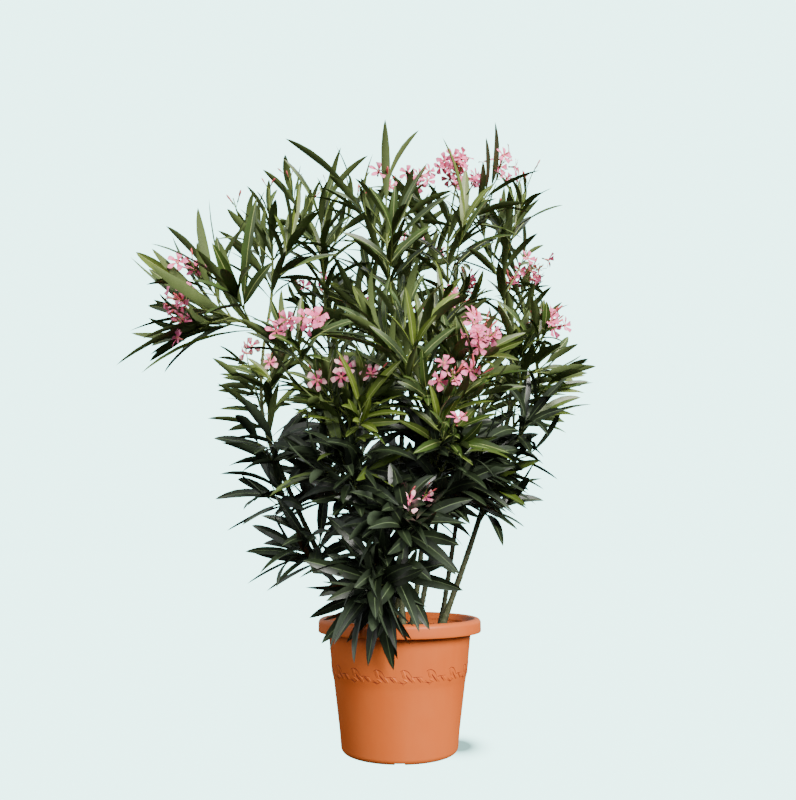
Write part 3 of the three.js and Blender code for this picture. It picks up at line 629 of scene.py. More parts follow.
def range_node(tree, value, from_low, from_high, to_low=0.0, to_high=1.0):
    """A value stretched from one range to another; the ends may be numbers or sockets."""
    feeds = zip(("Value", "From Min", "From Max", "To Min", "To Max"),
                (value, from_low, from_high, to_low, to_high))
    return add_node(tree, "ShaderNodeMapRange", feeds).outputs["Result"]


def mix_node(tree, factor, first, second, blend="MIX"):
    """Two colours mixed by a factor, each a colour or a socket."""
    feeds = ((0, factor), (6, first), (7, second))
    return add_node(tree, "ShaderNodeMix", feeds, data_type="RGBA", blend_type=blend).outputs[2]


def math_node(tree, operation, first, second):
    """Arithmetic on two numbers or sockets."""
    return add_node(tree, "ShaderNodeMath", ((0, first), (1, second)), operation=operation).outputs[0]


def living_group():
    """Mottling of a living surface: cloudy patches between two colours, and a fine grain."""
    if "Living Surface" in bpy.data.node_groups:
        return bpy.data.node_groups["Living Surface"]
    group, start, end = new_group(
        "Living Surface", ("Colour", COLOUR), ("Patch Colour", COLOUR), ("Patches", NUMBER, 40.0),
        ("Grain", NUMBER, 600.0), ("Roughness", NUMBER, 0.4), ("Roughness Spread", NUMBER, 0.08),
    )
    place, colour, patch, patches, grain, roughness, spread = start.outputs[:7]
    cloud = noise_node(group, place, patches, 2.0)
    fine = noise_node(group, place, grain, 2.0)
    mottled = mix_node(group, range_node(group, cloud, 0.35, 0.65), colour, patch)
    shade = range_node(group, fine, 0.3, 0.7, 0.86, 1.12)
    tint = add_node(group, "ShaderNodeCombineColor", [(part, shade) for part in range(3)])
    shaded = mix_node(group, 1.0, mottled, tint.outputs[0], "MULTIPLY")
    swing = math_node(group, "MULTIPLY", math_node(group, "SUBTRACT", cloud, 0.5), spread)
    return give(group, end, shaded, math_node(group, "ADD", roughness, swing), fine)


def bark_group():
    """Bark of a young cane: streaks along it, cloudy patches and pale breathing dots."""
    group, start, end = new_group(
        "Cane Bark", ("Colour", COLOUR), ("Streak Colour", COLOUR), ("Dot Colour", COLOUR),
        ("Roughness", NUMBER, 0.75),
    )
    place, colour, streak, dot, roughness = start.outputs[:5]
    streaks = noise_node(group, place, 160.0, 4.0, (1.0, 1.0, 0.22))
    cloud = noise_node(group, place, 18.0, 3.0)
    mixed = mix_node(group, range_node(group, streaks, 0.38, 0.62), colour, streak)
    mixed = mix_node(group, range_node(group, cloud, 0.3, 0.7, 0.0, 0.55), mixed, streak)
    spots = range_node(group, cell_node(group, place, 230.0), 0.12, 0.28, 0.7, 0.0)
    rough = math_node(group, "ADD", roughness, range_node(group, streaks, 0.3, 0.7, -0.08, 0.1))
    relief = math_node(group, "ADD", streaks, math_node(group, "MULTIPLY", spots, 0.5))
    return give(group, end, mix_node(group, spots, mixed, dot), rough, relief)


def plastic_group():
    """Matte moulded plastic: a fine grain, faint drawn streaks and dust towards the foot."""
    group, start, end = new_group(
        "Moulded Plastic", ("Colour", COLOUR), ("Worn Colour", COLOUR), ("Dust Colour", COLOUR),
        ("Dust Height", NUMBER, 0.06), ("Roughness", NUMBER, 0.5),
    )
    place, colour, worn, dust, dust_height, roughness = start.outputs[:6]
    cloud = noise_node(group, place, 9.0, 4.0)
    streaks = noise_node(group, place, 60.0, 3.0, (1.0, 1.0, 0.12))
    grain = noise_node(group, place, 1400.0, 2.0)
    mixed = mix_node(group, range_node(group, cloud, 0.35, 0.68, 0.0, 0.6), colour, worn)
    mixed = mix_node(group, range_node(group, streaks, 0.45, 0.75, 0.0, 0.35), mixed, worn)
    height = add_node(group, "ShaderNodeSeparateXYZ", ((0, place),)).outputs["Z"]
    low = range_node(group, height, 0.0, dust_height, 0.55, 0.0)
    patchy = math_node(group, "MULTIPLY", low, range_node(group, streaks, 0.3, 0.7, 0.3, 1.0))
    rough = math_node(group, "ADD", roughness, range_node(group, cloud, 0.3, 0.7, -0.06, 0.08))
    rough = math_node(group, "ADD", rough, math_node(group, "MULTIPLY", patchy, 0.3))
    relief = math_node(group, "ADD", grain, math_node(group, "MULTIPLY", streaks, 0.4))
    return give(group, end, mix_node(group, patchy, mixed, dust), rough, relief)


def soil_group():
    """Dark potting soil: crumbs, fibres and paler grit."""
    group, start, end = new_group("Potting Soil", ("Colour", COLOUR), ("Grit Colour", COLOUR))
    place, colour, grit = start.outputs[:3]
    crumbs = noise_node(group, place, 220.0, 5.0)
    cells = cell_node(group, place, 320.0)
    spots = range_node(group, cells, 0.05, 0.22, 0.8, 0.0)
    speckle = math_node(group, "MULTIPLY", spots, range_node(group, crumbs, 0.5, 0.65))
    rough = range_node(group, crumbs, 0.3, 0.7, 0.85, 1.0)
    relief = math_node(group, "ADD", crumbs, cells)
    return give(group, end, mix_node(group, speckle, colour, grit), rough, relief)


def group_material(name, group, values, bump, gloss, extra=()):
    """A material whose colour, roughness and relief come from a shared effect. The values are in
    the order of the effect's inputs, after the place; bump is a strength and a depth, gloss is
    the specular level, and extra feeds more of the shader's inputs."""
    material = bpy.data.materials.new(name)
    material.use_nodes = True
    tree = material.node_tree
    tree.nodes.clear()
    place = add_node(tree, "ShaderNodeTexCoord").outputs["Object"]
    effect = add_node(tree, "ShaderNodeGroup", (), node_tree=group)
    for socket, value in zip(effect.inputs, (place, *values)):
        feed(tree, socket, value)
    colour, roughness, relief = effect.outputs
    feeds = (("Strength", bump[0]), ("Distance", bump[1]), ("Height", relief))
    normal = add_node(tree, "ShaderNodeBump", feeds).outputs["Normal"]
    feeds = (("Base Color", colour), ("Roughness", roughness), ("Normal", normal),
             ("Specular IOR Level", gloss), *extra)
    shader = add_node(tree, "ShaderNodeBsdfPrincipled", feeds)
    add_node(tree, "ShaderNodeOutputMaterial", (("Surface", shader.outputs["BSDF"]),))
    return material


def shift(colour, amount):
    """A colour made lighter or darker."""
    return tuple(min(1.0, part * amount) for part in colour)


def leaf_material(name, colour, patch, roughness, gloss):
    values = (colour, patch, 26.0, 420.0, roughness, 0.14)
    return group_material(name, living_group(), values, (0.18, 0.0004), gloss)


def skin_material(name, colour, patch):
    """The green skin of twigs and flower stalks."""
    values = (colour, patch, 60.0, 500.0, 0.5, 0.15)
    return group_material(name, living_group(), values, (0.3, 0.0004), 0.4)


def petal_material(name, colour, patch):
    return group_material(
        name, living_group(), (colour, patch, 90.0, 700.0, 0.62, 0.1), (0.25, 0.0003),
        0.3, (("Subsurface Weight", 0.12), ("Subsurface Radius", (1.0, 0.4, 0.3)),
              ("Subsurface Scale", 0.002)),
    )


def material_set(settings, table, make):
    """The materials of a table: name, the setting of the colour, the setting of the patches or
    their share of its brightness, and what else the making takes."""
    materials = {}
    for key, (name, colour, patch, *finish) in table.items():
        colour = getattr(settings, colour)
        patch = getattr(settings, patch) if isinstance(patch, str) else shift(colour, patch)
        materials[key] = make(name, colour, patch, *finish)
    return materials


# ---- settings ----


def number_setting(label, note, default, **more):
    return bpy.props.FloatProperty(name=label, description=note, default=default, min=0.0, **more)


def length_setting(label, note, default):
    return number_setting(label, note, default, unit="LENGTH", precision=4)


def count_setting(label, note, default):
    return bpy.props.IntProperty(name=label, description=note, default=default, min=1)


def colour_setting(label, note, default):
    return bpy.props.FloatVectorProperty(
        name=label, description=note, default=default, size=3, min=0.0, max=1.0, subtype="COLOR"
    )


class PotSettings(bpy.types.PropertyGroup):
    rim_radius: length_setting("Rim radius", "Outer radius of the rolled rim", 0.175)
    height: length_setting("Height", "Underside to crest of the rim", 0.2725)
    rim_band: length_setting("Rim band", "Height of the rim's upright face", 0.028)
    rim_roll: length_setting("Rim roll", "Radius of the rim's rounded shoulder", 0.009)
    rim_inner: length_setting("Rim inner", "Inner edge of the crest", 0.161)
    body_top: length_setting("Body top", "Outer radius just under the rim", 0.1532)
    step_height: length_setting("Step height", "The wall steps in here", 0.155)
    step_top: length_setting("Step top", "Outer radius just above the step", 0.1438)
    step_bottom: length_setting("Step bottom", "Outer radius just below the step", 0.1416)
    step_blend: length_setting("Step blend", "Height over which the step is rounded off", 0.026)
    foot_radius: length_setting("Foot radius", "Outer radius at the floor", 0.1225)
    foot_corner: length_setting("Foot corner", "Rounding of the bottom corner", 0.0125)
    wall: length_setting("Wall", "Wall thickness", 0.0036)
    floor: length_setting("Floor", "Floor thickness", 0.005)
    notches: count_setting("Notches", "Drain notches in the bottom edge", 4)
    notch_width: length_setting("Notch width", "Width of a drain notch", 0.022)
    notch_height: length_setting("Notch height", "Height of a drain notch", 0.004)
    motifs: count_setting("Motifs", "Leaf curls round the garland", 17)
    colour: colour_setting("Colour", "Terracotta plastic", (0.5, 0.099, 0.016))
    worn: colour_setting("Worn colour", "Bleached patches", (0.53, 0.121, 0.023))
    # The groove colour is painted shade: a dark colour on the garland's lines that stands in for the
    # shade in the moulded relief.
    groove: colour_setting("Groove colour", "Painted shade in the garland's lines", (0.11, 0.012, 0.005))


class SoilSettings(bpy.types.PropertyGroup):
    crumbs: number_setting("Crumbs", "Crumbs to a square metre", 14000.0)
    crumb_size: length_setting("Crumb size", "Radius of a large crumb", 0.0032)
    unevenness: length_setting("Unevenness", "How far the surface rolls", 0.003)
    colour: colour_setting("Colour", "Moist potting soil", (0.012, 0.009, 0.007))
    grit: colour_setting("Grit colour", "Paler grit and fibres", (0.07, 0.05, 0.034))


class LimbSettings(bpy.types.PropertyGroup):
    slimness: number_setting("Slimness", "Share of the girth left to the wood", 0.8)
    scar_spacing: length_setting("Scar spacing", "Distance between leaf scar rings", 0.017)
    scar_height: length_setting("Scar height", "How far a leaf scar stands out", 0.0011)
    stem: colour_setting("Stem", "Bark of the stems", (0.055, 0.068, 0.024))
    stem_streak: colour_setting("Stem streak", "Darker streaks on the stems", (0.032, 0.034, 0.014))
    bough: colour_setting("Bough", "Green bark of the boughs", (0.12, 0.15, 0.04))
    bough_streak: colour_setting("Bough streak", "Streaks on the boughs", (0.065, 0.075, 0.022))
    dot: colour_setting("Dots", "Breathing dots of the bark", (0.17, 0.165, 0.095))
    twig: colour_setting("Twig", "Skin of the youngest wood", (0.165, 0.22, 0.045))


class LeafSettings(bpy.types.PropertyGroup):
    young_width: length_setting("Young width", "Width of a young leaf", 0.019)
    old_width: length_setting("Old width", "Width of an old leaf", 0.024)
    thickness: length_setting("Thickness", "Thickness of a blade", 0.0005)
    fold: number_setting("Fold", "How far the halves fold up", math.radians(15), subtype="ANGLE")
    black_green: colour_setting("Black green", "Oldest leaves", (0.01, 0.0155, 0.0078))
    deep_green: colour_setting("Deep green", "Old leaves", (0.0175, 0.029, 0.0115))
    grey_green: colour_setting("Grey green", "Dulled old leaves", (0.0335, 0.044, 0.024))
    leaf_green: colour_setting("Leaf green", "Grown young leaves", (0.044, 0.083, 0.0115))
    olive_green: colour_setting("Olive green", "Young leaves", (0.076, 0.119, 0.014))
    fresh_green: colour_setting("Fresh green", "Newest leaves", (0.118, 0.17, 0.02))
    rib_old: colour_setting("Old midrib", "Midrib of old leaves", (0.095, 0.135, 0.062))
    rib_young: colour_setting("Young midrib", "Midrib of young leaves", (0.34, 0.4, 0.13))
    under_old: colour_setting("Old underside", "Underside of old leaves", (0.04, 0.059, 0.031))
    under_young: colour_setting("Young underside", "Underside of young leaves", (0.1, 0.14, 0.042))


class BlossomSettings(bpy.types.PropertyGroup):
    radius: length_setting("Radius", "Throat to petal tip", 0.0215)
    dish: length_setting("Dish", "How far the petals rise", 0.005)
    tube: length_setting("Tube", "Length of the flower's tube", 0.017)
    bud: length_setting("Bud", "Length of a ripe bud", 0.033)
    blush: colour_setting("Blush", "Fading petals low on the bush", (0.88, 0.43, 0.48))
    pale_pink: colour_setting("Pale pink", "Outer petals", (0.9, 0.205, 0.375))
    rose_pink: colour_setting("Rose pink", "Deeper petals", (0.84, 0.12, 0.3))
    heart_pink: colour_setting("Heart pink", "Petals near the throat", (0.76, 0.09, 0.2))
    throat: colour_setting("Throat", "Tube and fringe", (0.86, 0.3, 0.26))
    salmon: colour_setting("Bud colour", "Closed buds", (0.8, 0.13, 0.15))
    calyx: colour_setting("Calyx", "Sepals and stalk ends", (0.16, 0.09, 0.03))


class StageSettings(bpy.types.PropertyGroup):
    backdrop: colour_setting("Backdrop", "Colour of floor and backdrop", (0.55, 1.0, 0.927))
    backdrop_strength: number_setting("Backdrop glow", "Brightness of floor and backdrop", 5.27)
    key_strength: number_setting("Key light", "Strength of the key light", 8.8)
    fill_strength: number_setting("Fill light", "Strength of the soft light from the left", 1.1)
    top_strength: number_setting("Top light", "Strength of the soft light from above", 0.8)
    sky_strength: number_setting("Sky light", "Strength of the light from all round", 0.8)
    sheen_strength: number_setting("Sheen", "Brightness of the room in reflections", 0.78)


# ---- pot ----


STEP_RISE = 0.0015                              # height of the wall's step
CREST_INSET, CREST_DROP = 0.0015, 0.003         # rounding of the rim's inner edge


def arc(centre_x, centre_z, radius, start, end, steps):
    """Points of an arc between two angles in degrees."""
    turns = np.radians(np.linspace(start, end, steps + 1))
    return [(centre_x + radius * math.cos(t), centre_z + radius * math.sin(t)) for t in turns]


def wall_radius(pot, height):
    """Outer radius of the pot's wall, with its soft step."""
    rim_foot = pot.height - pot.rim_band
    start = pot.step_height + STEP_RISE
    above = between(pot.step_top, pot.body_top, (height - start) / (rim_foot - start))
    below = between(pot.foot_radius, pot.step_bottom,
                    (height - pot.foot_corner) / (pot.step_height - pot.foot_corner))
    share = min(1.0, max(0.0, (height - pot.step_height) / pot.step_blend + 0.5))
    return between(below, above, share * share * (3 - 2 * share))


def pot_profile(pot):
    """Radius and height down the pot's outside, over its rim and down its inside."""
    rim_foot = pot.height - pot.rim_band
    skirt_top = pot.height - pot.rim_roll - pot.wall
    shoulder = pot.rim_radius - pot.rim_roll
    corner = pot.foot_radius - pot.foot_corner + 0.001
    edge = 0.0006
    step, blend = pot.step_height, pot.step_blend / 2
    heights = [between(pot.foot_corner, step - blend, s) for s in (0.25, 0.5, 0.75, 0.92)]
    heights += [step + blend * s for s in (-1.0, -0.7, -0.4, -0.1, 0.2, 0.5, 0.8, 1.0)]
    heights += [between(step + blend, rim_foot, s) for s in (0.15, 0.35, 0.6, 0.85, 1.0)]
    profile = [(0.03, 0.0), (0.08, 0.0)]
    profile += arc(corner, pot.foot_corner, pot.foot_corner, -90, -5, 9)
    profile += [(wall_radius(pot, height), height) for height in heights]
    profile += [(pot.body_top + 0.001, skirt_top), (pot.rim_radius - pot.wall - 0.0015, skirt_top)]
    profile += [(pot.rim_radius - pot.wall, rim_foot + edge)]
    profile += arc(pot.rim_radius - pot.wall / 2, rim_foot + pot.wall / 2, pot.wall / 2, 190, 350, 6)
    profile += [(pot.rim_radius, rim_foot + 0.006)]
    profile += arc(shoulder, pot.height - pot.rim_roll, pot.rim_roll, 0, 90, 8)
    profile += [
        (pot.rim_inner + 0.002, pot.height), (pot.rim_inner, pot.height - 0.0008),
        (pot.rim_inner - CREST_INSET, pot.height - CREST_DROP),
        (pot.body_top - pot.wall, rim_foot),
        (pot.step_top - pot.wall, pot.step_height + STEP_RISE),
        (pot.step_bottom - pot.wall, pot.step_height),
        (pot.foot_radius - pot.wall, pot.floor),
        (0.06, pot.floor),
    ]
    return np.array(profile)


def pot_angles(pot, plain=168):
    """Even steps round the pot, with close pairs at the edges of the drain notches."""
    angles = list(np.arange(plain) / plain * 2 * math.pi)
    half = pot.notch_width / 2 / pot.foot_radius
    for index in range(pot.notches):
        middle = -math.pi / 2 + index * 2 * math.pi / pot.notches
        for offset in (-half - 0.003, -half, half, half + 0.003):
            angles.append((middle + offset) % (2 * math.pi))
    return np.unique(np.round(angles, 5))


def build_pot(pot):
    """The pot's closed shell, its bottom edge lifted at the drain notches."""
    profile = pot_profile(pot)
    angles = pot_angles(pot)
    rings = turned(profile, angles)
    half = pot.notch_width / 2 / pot.foot_radius + 0.001
    gap = (angles + math.pi / 2) % (2 * math.pi / pot.notches)
    in_notch = (gap < half) | (gap > 2 * math.pi / pot.notches - half)
    under = (profile[:, 0] > pot.foot_radius - pot.foot_corner) & (profile[:, 1] < pot.notch_height)
    under &= np.arange(len(profile)) < 12
    lift = under[:, None] & in_notch[None, :]
    rings[..., 2] = np.where(lift, pot.notch_height, rings[..., 2])
    heap = Heap()
    add_rings(heap, rings, ((0, 0, profile[0, 1]), (0, 0, profile[-1, 1])))
    plastic = group_material(
        "Terracotta plastic", plastic_group(),
        (pot.colour, pot.worn, shift(pot.worn, 0.9), 0.05, 0.46), (0.12, 0.0003), 0.25,
    )
    piece = heap.show("pot_shell", plastic)
    piece.data.set_sharp_from_angle(angle=math.radians(42))
    return piece, plastic


# One leaf curl of the garland, on the unrolled wall: half the width of each line at its middle,
# and distance round the wall and height over the garland's foot along it. The lines are the arch,
# two slashes with the bar between them, the hook, the tail and the flank.
GARLAND_FOOT = 0.154
MOTIF_LINES = (
    (0.0011, ((0.0, 0.0263), (0.0035, 0.0285), (0.0077, 0.0295), (0.012, 0.0287),
              (0.0154, 0.027), (0.0185, 0.024), (0.0206, 0.0208), (0.024, 0.015))),
    (0.0018, ((0.012, 0.0205), (0.0145, 0.0168), (0.0171, 0.0136), (0.021, 0.0092),
              (0.0257, 0.0047))),
    (0.0009, ((0.024, 0.0143), (0.0275, 0.0155), (0.0309, 0.0159), (0.038, 0.0157),
              (0.0454, 0.0159))),
    (0.0017, ((0.033, 0.0152), (0.0356, 0.012), (0.0385, 0.0092), (0.0428, 0.0047))),
    (0.0009, ((-0.002, 0.0098), (0.002, 0.0065), (0.0046, 0.0047), (0.0088, 0.0032),
              (0.0115, 0.0042), (0.014, 0.0064))),
    (0.0008, ((-0.004, 0.006), (0.0, 0.0052), (0.0034, 0.0043), (0.0086, 0.0))),
    (0.0005, ((0.003, 0.0262), (0.0042, 0.021), (0.006, 0.016), (0.0085, 0.012))),
)
# The low leaf bodies between the lines: middle, half length, half width and slant in degrees.
MOTIF_LEAVES = (
    (0.0085, 0.0215, 0.0085, 0.0034, 108), (0.0265, 0.01, 0.007, 0.0028, -52),
    (0.043, 0.0108, 0.007, 0.0026, -48), (0.012, 0.0085, 0.006, 0.0022, -30),
)
# Cross-sections: the share of the half width, and how far they stand proud of the wall.
LINE_SECTION = ((-1, -0.0004), (-0.45, 0.00022), (0.45, 0.00022), (1, -0.0004))
LEAF_SECTION = ((-1, -0.0003), (-0.5, 0.0005), (0, 0.0007), (0.5, 0.0005), (1, -0.0003))


def on_wall(pot, around, height, proud):
    """A point on the wall, or standing a little proud of it."""
    turn = around / pot.step_top - math.pi / 2
    radius = wall_radius(pot, height) + proud
    return radius * math.cos(turn), radius * math.sin(turn), height


def add_ridge(heap, pot, spots, asides, widths, section, slot):
    """A low ridge on the wall: a cross-section set square to each spot of its middle line."""
    points = [
        on_wall(pot, *(spot + aside * wide * share), proud)
        for spot, aside, wide in zip(spots, asides, widths) for share, proud in section
    ]
    heap.add(points, sheet_faces(len(spots), len(section)), slot)


def motif_mesh(pot):
    """One leaf curl of the garland, bent round the wall."""
    heap = Heap()
    for half, line in MOTIF_LINES:
        line = np.array(line)
        steps = np.linspace(0, len(line) - 1, 4 * len(line))
        path = np.stack([np.interp(steps, np.arange(len(line)), line[:, i]) for i in (0, 1)], -1)
        path = path + (0, GARLAND_FOOT)
        ahead = unit(np.gradient(path, axis=0))
        aside = np.stack([-ahead[:, 1], ahead[:, 0]], -1)
        widths = half * np.sin(np.linspace(0.25, math.pi - 0.2, len(path))) ** 0.7
        # The lines go in slot 0, which takes the dark painted-shade material.
        add_ridge(heap, pot, path, aside, widths, LINE_SECTION, 0)
    for centre_x, centre_z, half_long, half_wide, slant in MOTIF_LEAVES:
        turn = math.radians(slant)
        way = np.array((math.cos(turn), math.sin(turn)))
        aside = np.array((-way[1], way[0]))
        middle = np.array((centre_x, centre_z + GARLAND_FOOT))
        longs = np.linspace(-1, 1, 9)
        spots = [middle + way * long * half_long for long in longs]
        widths = [half_wide * (1 - long * long) ** 0.8 + 0.00005 for long in longs]
        add_ridge(heap, pot, spots, [aside] * len(spots), widths, LEAF_SECTION, 1)
    return mark_parts(heap.mesh("motif", [None] * 2))


# ---- geometry node trees ----


class Maker:
    """A geometry node tree with named inputs, put together link by link."""

    def __init__(self, name, *inputs):
        self.tree = bpy.data.node_groups.new(name, "GeometryNodeTree")
        geometry = ("Geometry", GEOMETRY)
        self.start, self.end = add_sockets(self.tree, (geometry, *inputs), (geometry,))

    def node(self, kind, feeds=(), **settings):
        """The first output of a new node."""
        return add_node(self.tree, kind, feeds, **settings).outputs[0]

    def math(self, operation, first, second):
        return math_node(self.tree, operation, first, second)

    def given(self, label):
        return self.start.outputs[label]

    def attribute(self, name, kind):
        """A number that the points or faces carry."""
        return self.node("GeometryNodeInputNamedAttribute", [("Name", name)], data_type=kind)

    def shape(self, label):
        """The mesh of the object that an input names."""
        node = add_node(self.tree, "GeometryNodeObjectInfo", [("Object", self.given(label))])
        return node.outputs["Geometry"]

    def copies(self, points, shape, turn, size=1.0):
        """A copy of a shape on each point, turned by three angles and sized."""
        rotation = self.node("FunctionNodeEulerToRotation", [("Euler", turn)])
        feeds = [("Points", points), ("Instance", shape), ("Rotation", rotation)]
        if size != 1.0:
            feeds.append(("Scale", size))
        return self.node("GeometryNodeInstanceOnPoints", feeds)

    def finish(self, geometry, materials):
        """Realizes the instances and sets each material where its part number says."""
        geometry = self.node("GeometryNodeRealizeInstances", [("Geometry", geometry)])
        for part, label in enumerate(materials):
            feeds = [("Geometry", geometry), ("Material", self.given(label))]
            if part:
                same = self.node(
                    "FunctionNodeCompare", [(2, self.attribute("part", "INT")), (3, part)],
                    data_type="INT", operation="EQUAL",
                )
                feeds.append(("Selection", same))
            geometry = self.node("GeometryNodeSetMaterial", feeds)
        feed(self.tree, self.end.inputs[0], geometry)
        return self.tree


def run_tree(piece, tree, values):
    """Runs a tree on a piece with these inputs and keeps its result as a plain mesh."""
    modifier = piece.modifiers.new(piece.name, "NODES")
    modifier.node_group = tree
    keys = {
        item.name: item.identifier for item in tree.interface.items_tree if item.in_out == "INPUT"
    }
    for label, value in values.items():
        modifier[keys[label]] = value
    bpy.context.view_layer.update()
    graph = bpy.context.evaluated_depsgraph_get()
    mesh = bpy.data.meshes.new_from_object(piece.evaluated_get(graph))
    mesh.name = piece.name
    piece.modifiers.clear()
    old = piece.data
    piece.data = mesh
    bpy.data.meshes.remove(old)
    for extra in ("part", "turn", "size"):
        if extra in mesh.attributes:
            mesh.attributes.remove(mesh.attributes[extra])
    return piece


def run_copies(piece, tree, label, mesh, values):
    """Runs a tree that copies a mesh, through an object that doesn't stay."""
    copied = bpy.data.objects.new(label, mesh)
    run_tree(piece, tree, {label: copied, **values})
    bpy.data.objects.remove(copied)
    return piece


def mark_parts(mesh):
    """Writes each face's material number as its part, for the trees to read."""
    numbers = np.empty(len(mesh.polygons), np.int32)
    mesh.polygons.foreach_get("material_index", numbers)
    mesh.attributes.new("part", "INT", "FACE").data.foreach_set("value", numbers)
    mesh.materials.clear()
    return mesh


def garland_tree():
    """Repeats one motif round the pot; its lines take the dark material that paints shade into the
    relief.
    """
    maker = Maker("Garland Round Pot", ("Motif", OBJECT), ("Count", WHOLE, 17),
                  ("Groove", MATERIAL), ("Body", MATERIAL))
    count = maker.given("Count")
    points = maker.node("GeometryNodePoints", [("Count", count)])
    step = maker.math("DIVIDE", 2 * math.pi, count)
    turn = maker.math("MULTIPLY", maker.node("GeometryNodeInputIndex"), step)
    spin = maker.node("ShaderNodeCombineXYZ", [("Z", turn)])
    return maker.finish(maker.copies(points, maker.shape("Motif"), spin), ("Groove", "Body"))


def spread_tree(name, materials):
    """Sets a flower or bud on every point, turned and sized as the point says."""
    maker = Maker(name, ("Flower", OBJECT), ("Size", NUMBER, 1.0),
                  *((label, MATERIAL) for label in materials))
    turn = maker.attribute("turn", "FLOAT_VECTOR")
    size = maker.math("MULTIPLY", maker.attribute("size", "FLOAT"), maker.given("Size"))
    copies = maker.copies(maker.given("Geometry"), maker.shape("Flower"), turn, size)
    return maker.finish(copies, materials)


def crumb_tree():
    """Strews crumbs over the top of the soil."""
    maker = Maker("Soil Crumbs", ("Density", NUMBER, 14000.0), ("Crumb Size", NUMBER, 0.003),
                  ("Seed", WHOLE, 7), ("Soil", MATERIAL))
    ground = maker.given("Geometry")
    axes = add_node(maker.tree, "ShaderNodeSeparateXYZ", [(0, maker.node("GeometryNodeInputNormal"))])
    top = maker.node("FunctionNodeCompare", [(0, axes.outputs["Z"]), (1, 0.5)],
                     data_type="FLOAT", operation="GREATER_THAN")
    strewn = maker.node(
        "GeometryNodeDistributePointsOnFaces",
        [("Mesh", ground), ("Selection", top), ("Density", maker.given("Density")),
         ("Seed", maker.given("Seed"))],
    )
    crumb = maker.node("GeometryNodeMeshIcoSphere", [("Radius", maker.given("Crumb Size")),
                                                     ("Subdivisions", 1)])
    size, turn = (
        maker.node("FunctionNodeRandomValue", [("Min", low), ("Max", high), ("Seed", seed)],
                   data_type="FLOAT_VECTOR")
        for low, high, seed in (((0.25, 0.25, 0.18), (1.0, 0.8, 0.6), 11),
                                ((0, 0, 0), (6.28, 6.28, 6.28), 12))
    )
    crumbs = maker.copies(strewn, crumb, turn, size)
    both = maker.node("GeometryNodeJoinGeometry", [(0, ground), (0, crumbs)])
    return maker.finish(both, ("Soil",))


# ---- soil ----


def build_soil(settings, pot):
    """A plug of soil with a rolling top, its crumbs strewn by the tree."""
    inset = pot.wall + GAP
    rim_foot = pot.height - pot.rim_band
    top = between(pot.body_top - inset, pot.rim_inner - CREST_INSET - GAP,
                  (SOIL_TOP - rim_foot) / (pot.rim_band - CREST_DROP)) - GAP
    outer = [
        (0.04, pot.floor + GAP), (pot.foot_radius - inset, pot.floor + GAP),
        (pot.step_bottom - inset, pot.step_height), (pot.step_top - inset, pot.step_height + STEP_RISE),
        (pot.body_top - inset, rim_foot - 0.002),
    ]
    level = [(top * share, SOIL_TOP) for share in (1.0, 0.985, 0.95, *np.linspace(0.9, 0.04, 20))]
    profile = np.array(outer + level)
    angles = np.arange(96) / 96 * 2 * math.pi
    rings = turned(profile, angles)
    surface = rings[len(outer):]
    x, y = surface[..., 0], surface[..., 1]
    roll = np.sin(31 * x + 3 * np.sin(23 * y)) * np.cos(37 * y + 2 * np.sin(29 * x))
    fine = np.sin(173 * x + 5 * np.sin(131 * y)) * np.cos(151 * y)
    surface[..., 2] += settings.unevenness * (0.45 * roll + 0.2 * fine - 0.4)
    surface[0, :, 2] = SOIL_TOP - 0.0005
    heap = Heap()
    add_rings(heap, rings, ((0, 0, pot.floor + GAP), (0, 0, SOIL_TOP - 0.0005)))
    values = (settings.colour, settings.grit)
    earth = group_material("Potting soil", soil_group(), values, (0.8, 0.0015), 0.25)
    return run_tree(
        heap.show("soil_surface", earth), crumb_tree(),
        {"Density": settings.crumbs, "Crumb Size": settings.crumb_size, "Seed": 7, "Soil": earth},
    )


# ---- stems, boughs and twigs ----


def scar_relief(lengths, angles, settings, seed, end):
    """How far leaf scars stand out at each distance along a cane and each angle round it."""
    relief = np.zeros((len(lengths), len(angles)))
    at, ring = 0.012 + 0.01 * chance(seed, 5), 0
    while at < end:
        turn = ring * math.pi / 3 + chance(seed, ring, 6)
        along = np.exp(-(((lengths - at) / 0.0023) ** 2))
        above = np.exp(-(((lengths - at - 0.004) / 0.002) ** 2))
        round_it = 0.35 + 0.65 * np.clip(np.cos(3 * (angles - turn)), 0, 1) ** 1.5
        size = settings.scar_height * drawn(0.6, 1.25, seed, ring, 7)
        relief += size * along[:, None] * round_it[None, :]
        relief -= 0.3 * size * above[:, None]
        at += settings.scar_spacing * drawn(0.6, 1.35, seed, ring, 8)
        ring += 1
    return relief


def add_limb(heap, plant, limb, settings, seed, sides, step):
    """A cane with its taper, leaf scars and slight bends, its foot sunk in what carries it."""
    length = limb.curve.length()
    count = max(8, round(length / step))
    shares = np.linspace(0, 1, count + 1)
    angles = np.arange(sides) / sides * 2 * math.pi
    along = shares * length
    radii = settings.slimness * limb.radius_at(shares)[:, None] * np.ones(sides)
    lump = np.sin(along[:, None] * 90 + 2 * np.sin(angles)[None, :] + seed) * 0.03
    radii = radii * (1 + lump) + scar_relief(along, angles, settings, seed, length - 0.004)
    if limb.carrier:
        carrier = plant.limbs[limb.carrier]
        collar = 0.0016 if limb.at < 1 else max(0.0, float(carrier.radius_at(1)) - BOUGH_FOOT)
        radii += collar * np.exp(-along / 0.01)[:, None]
    add_tube(heap, limb.curve, shares, radii, sides, level_foot=limb.carrier is None)


def build_limbs(settings, names, piece_name, material, sides, step):
    """One piece of several canes, with a ring of points at each step."""
    plant = grown()
    heap = Heap()
    for index, name in enumerate(names):
        add_limb(heap, plant, plant.limbs[name], settings, 300 + index, sides, step)
    return heap.show(piece_name, material)


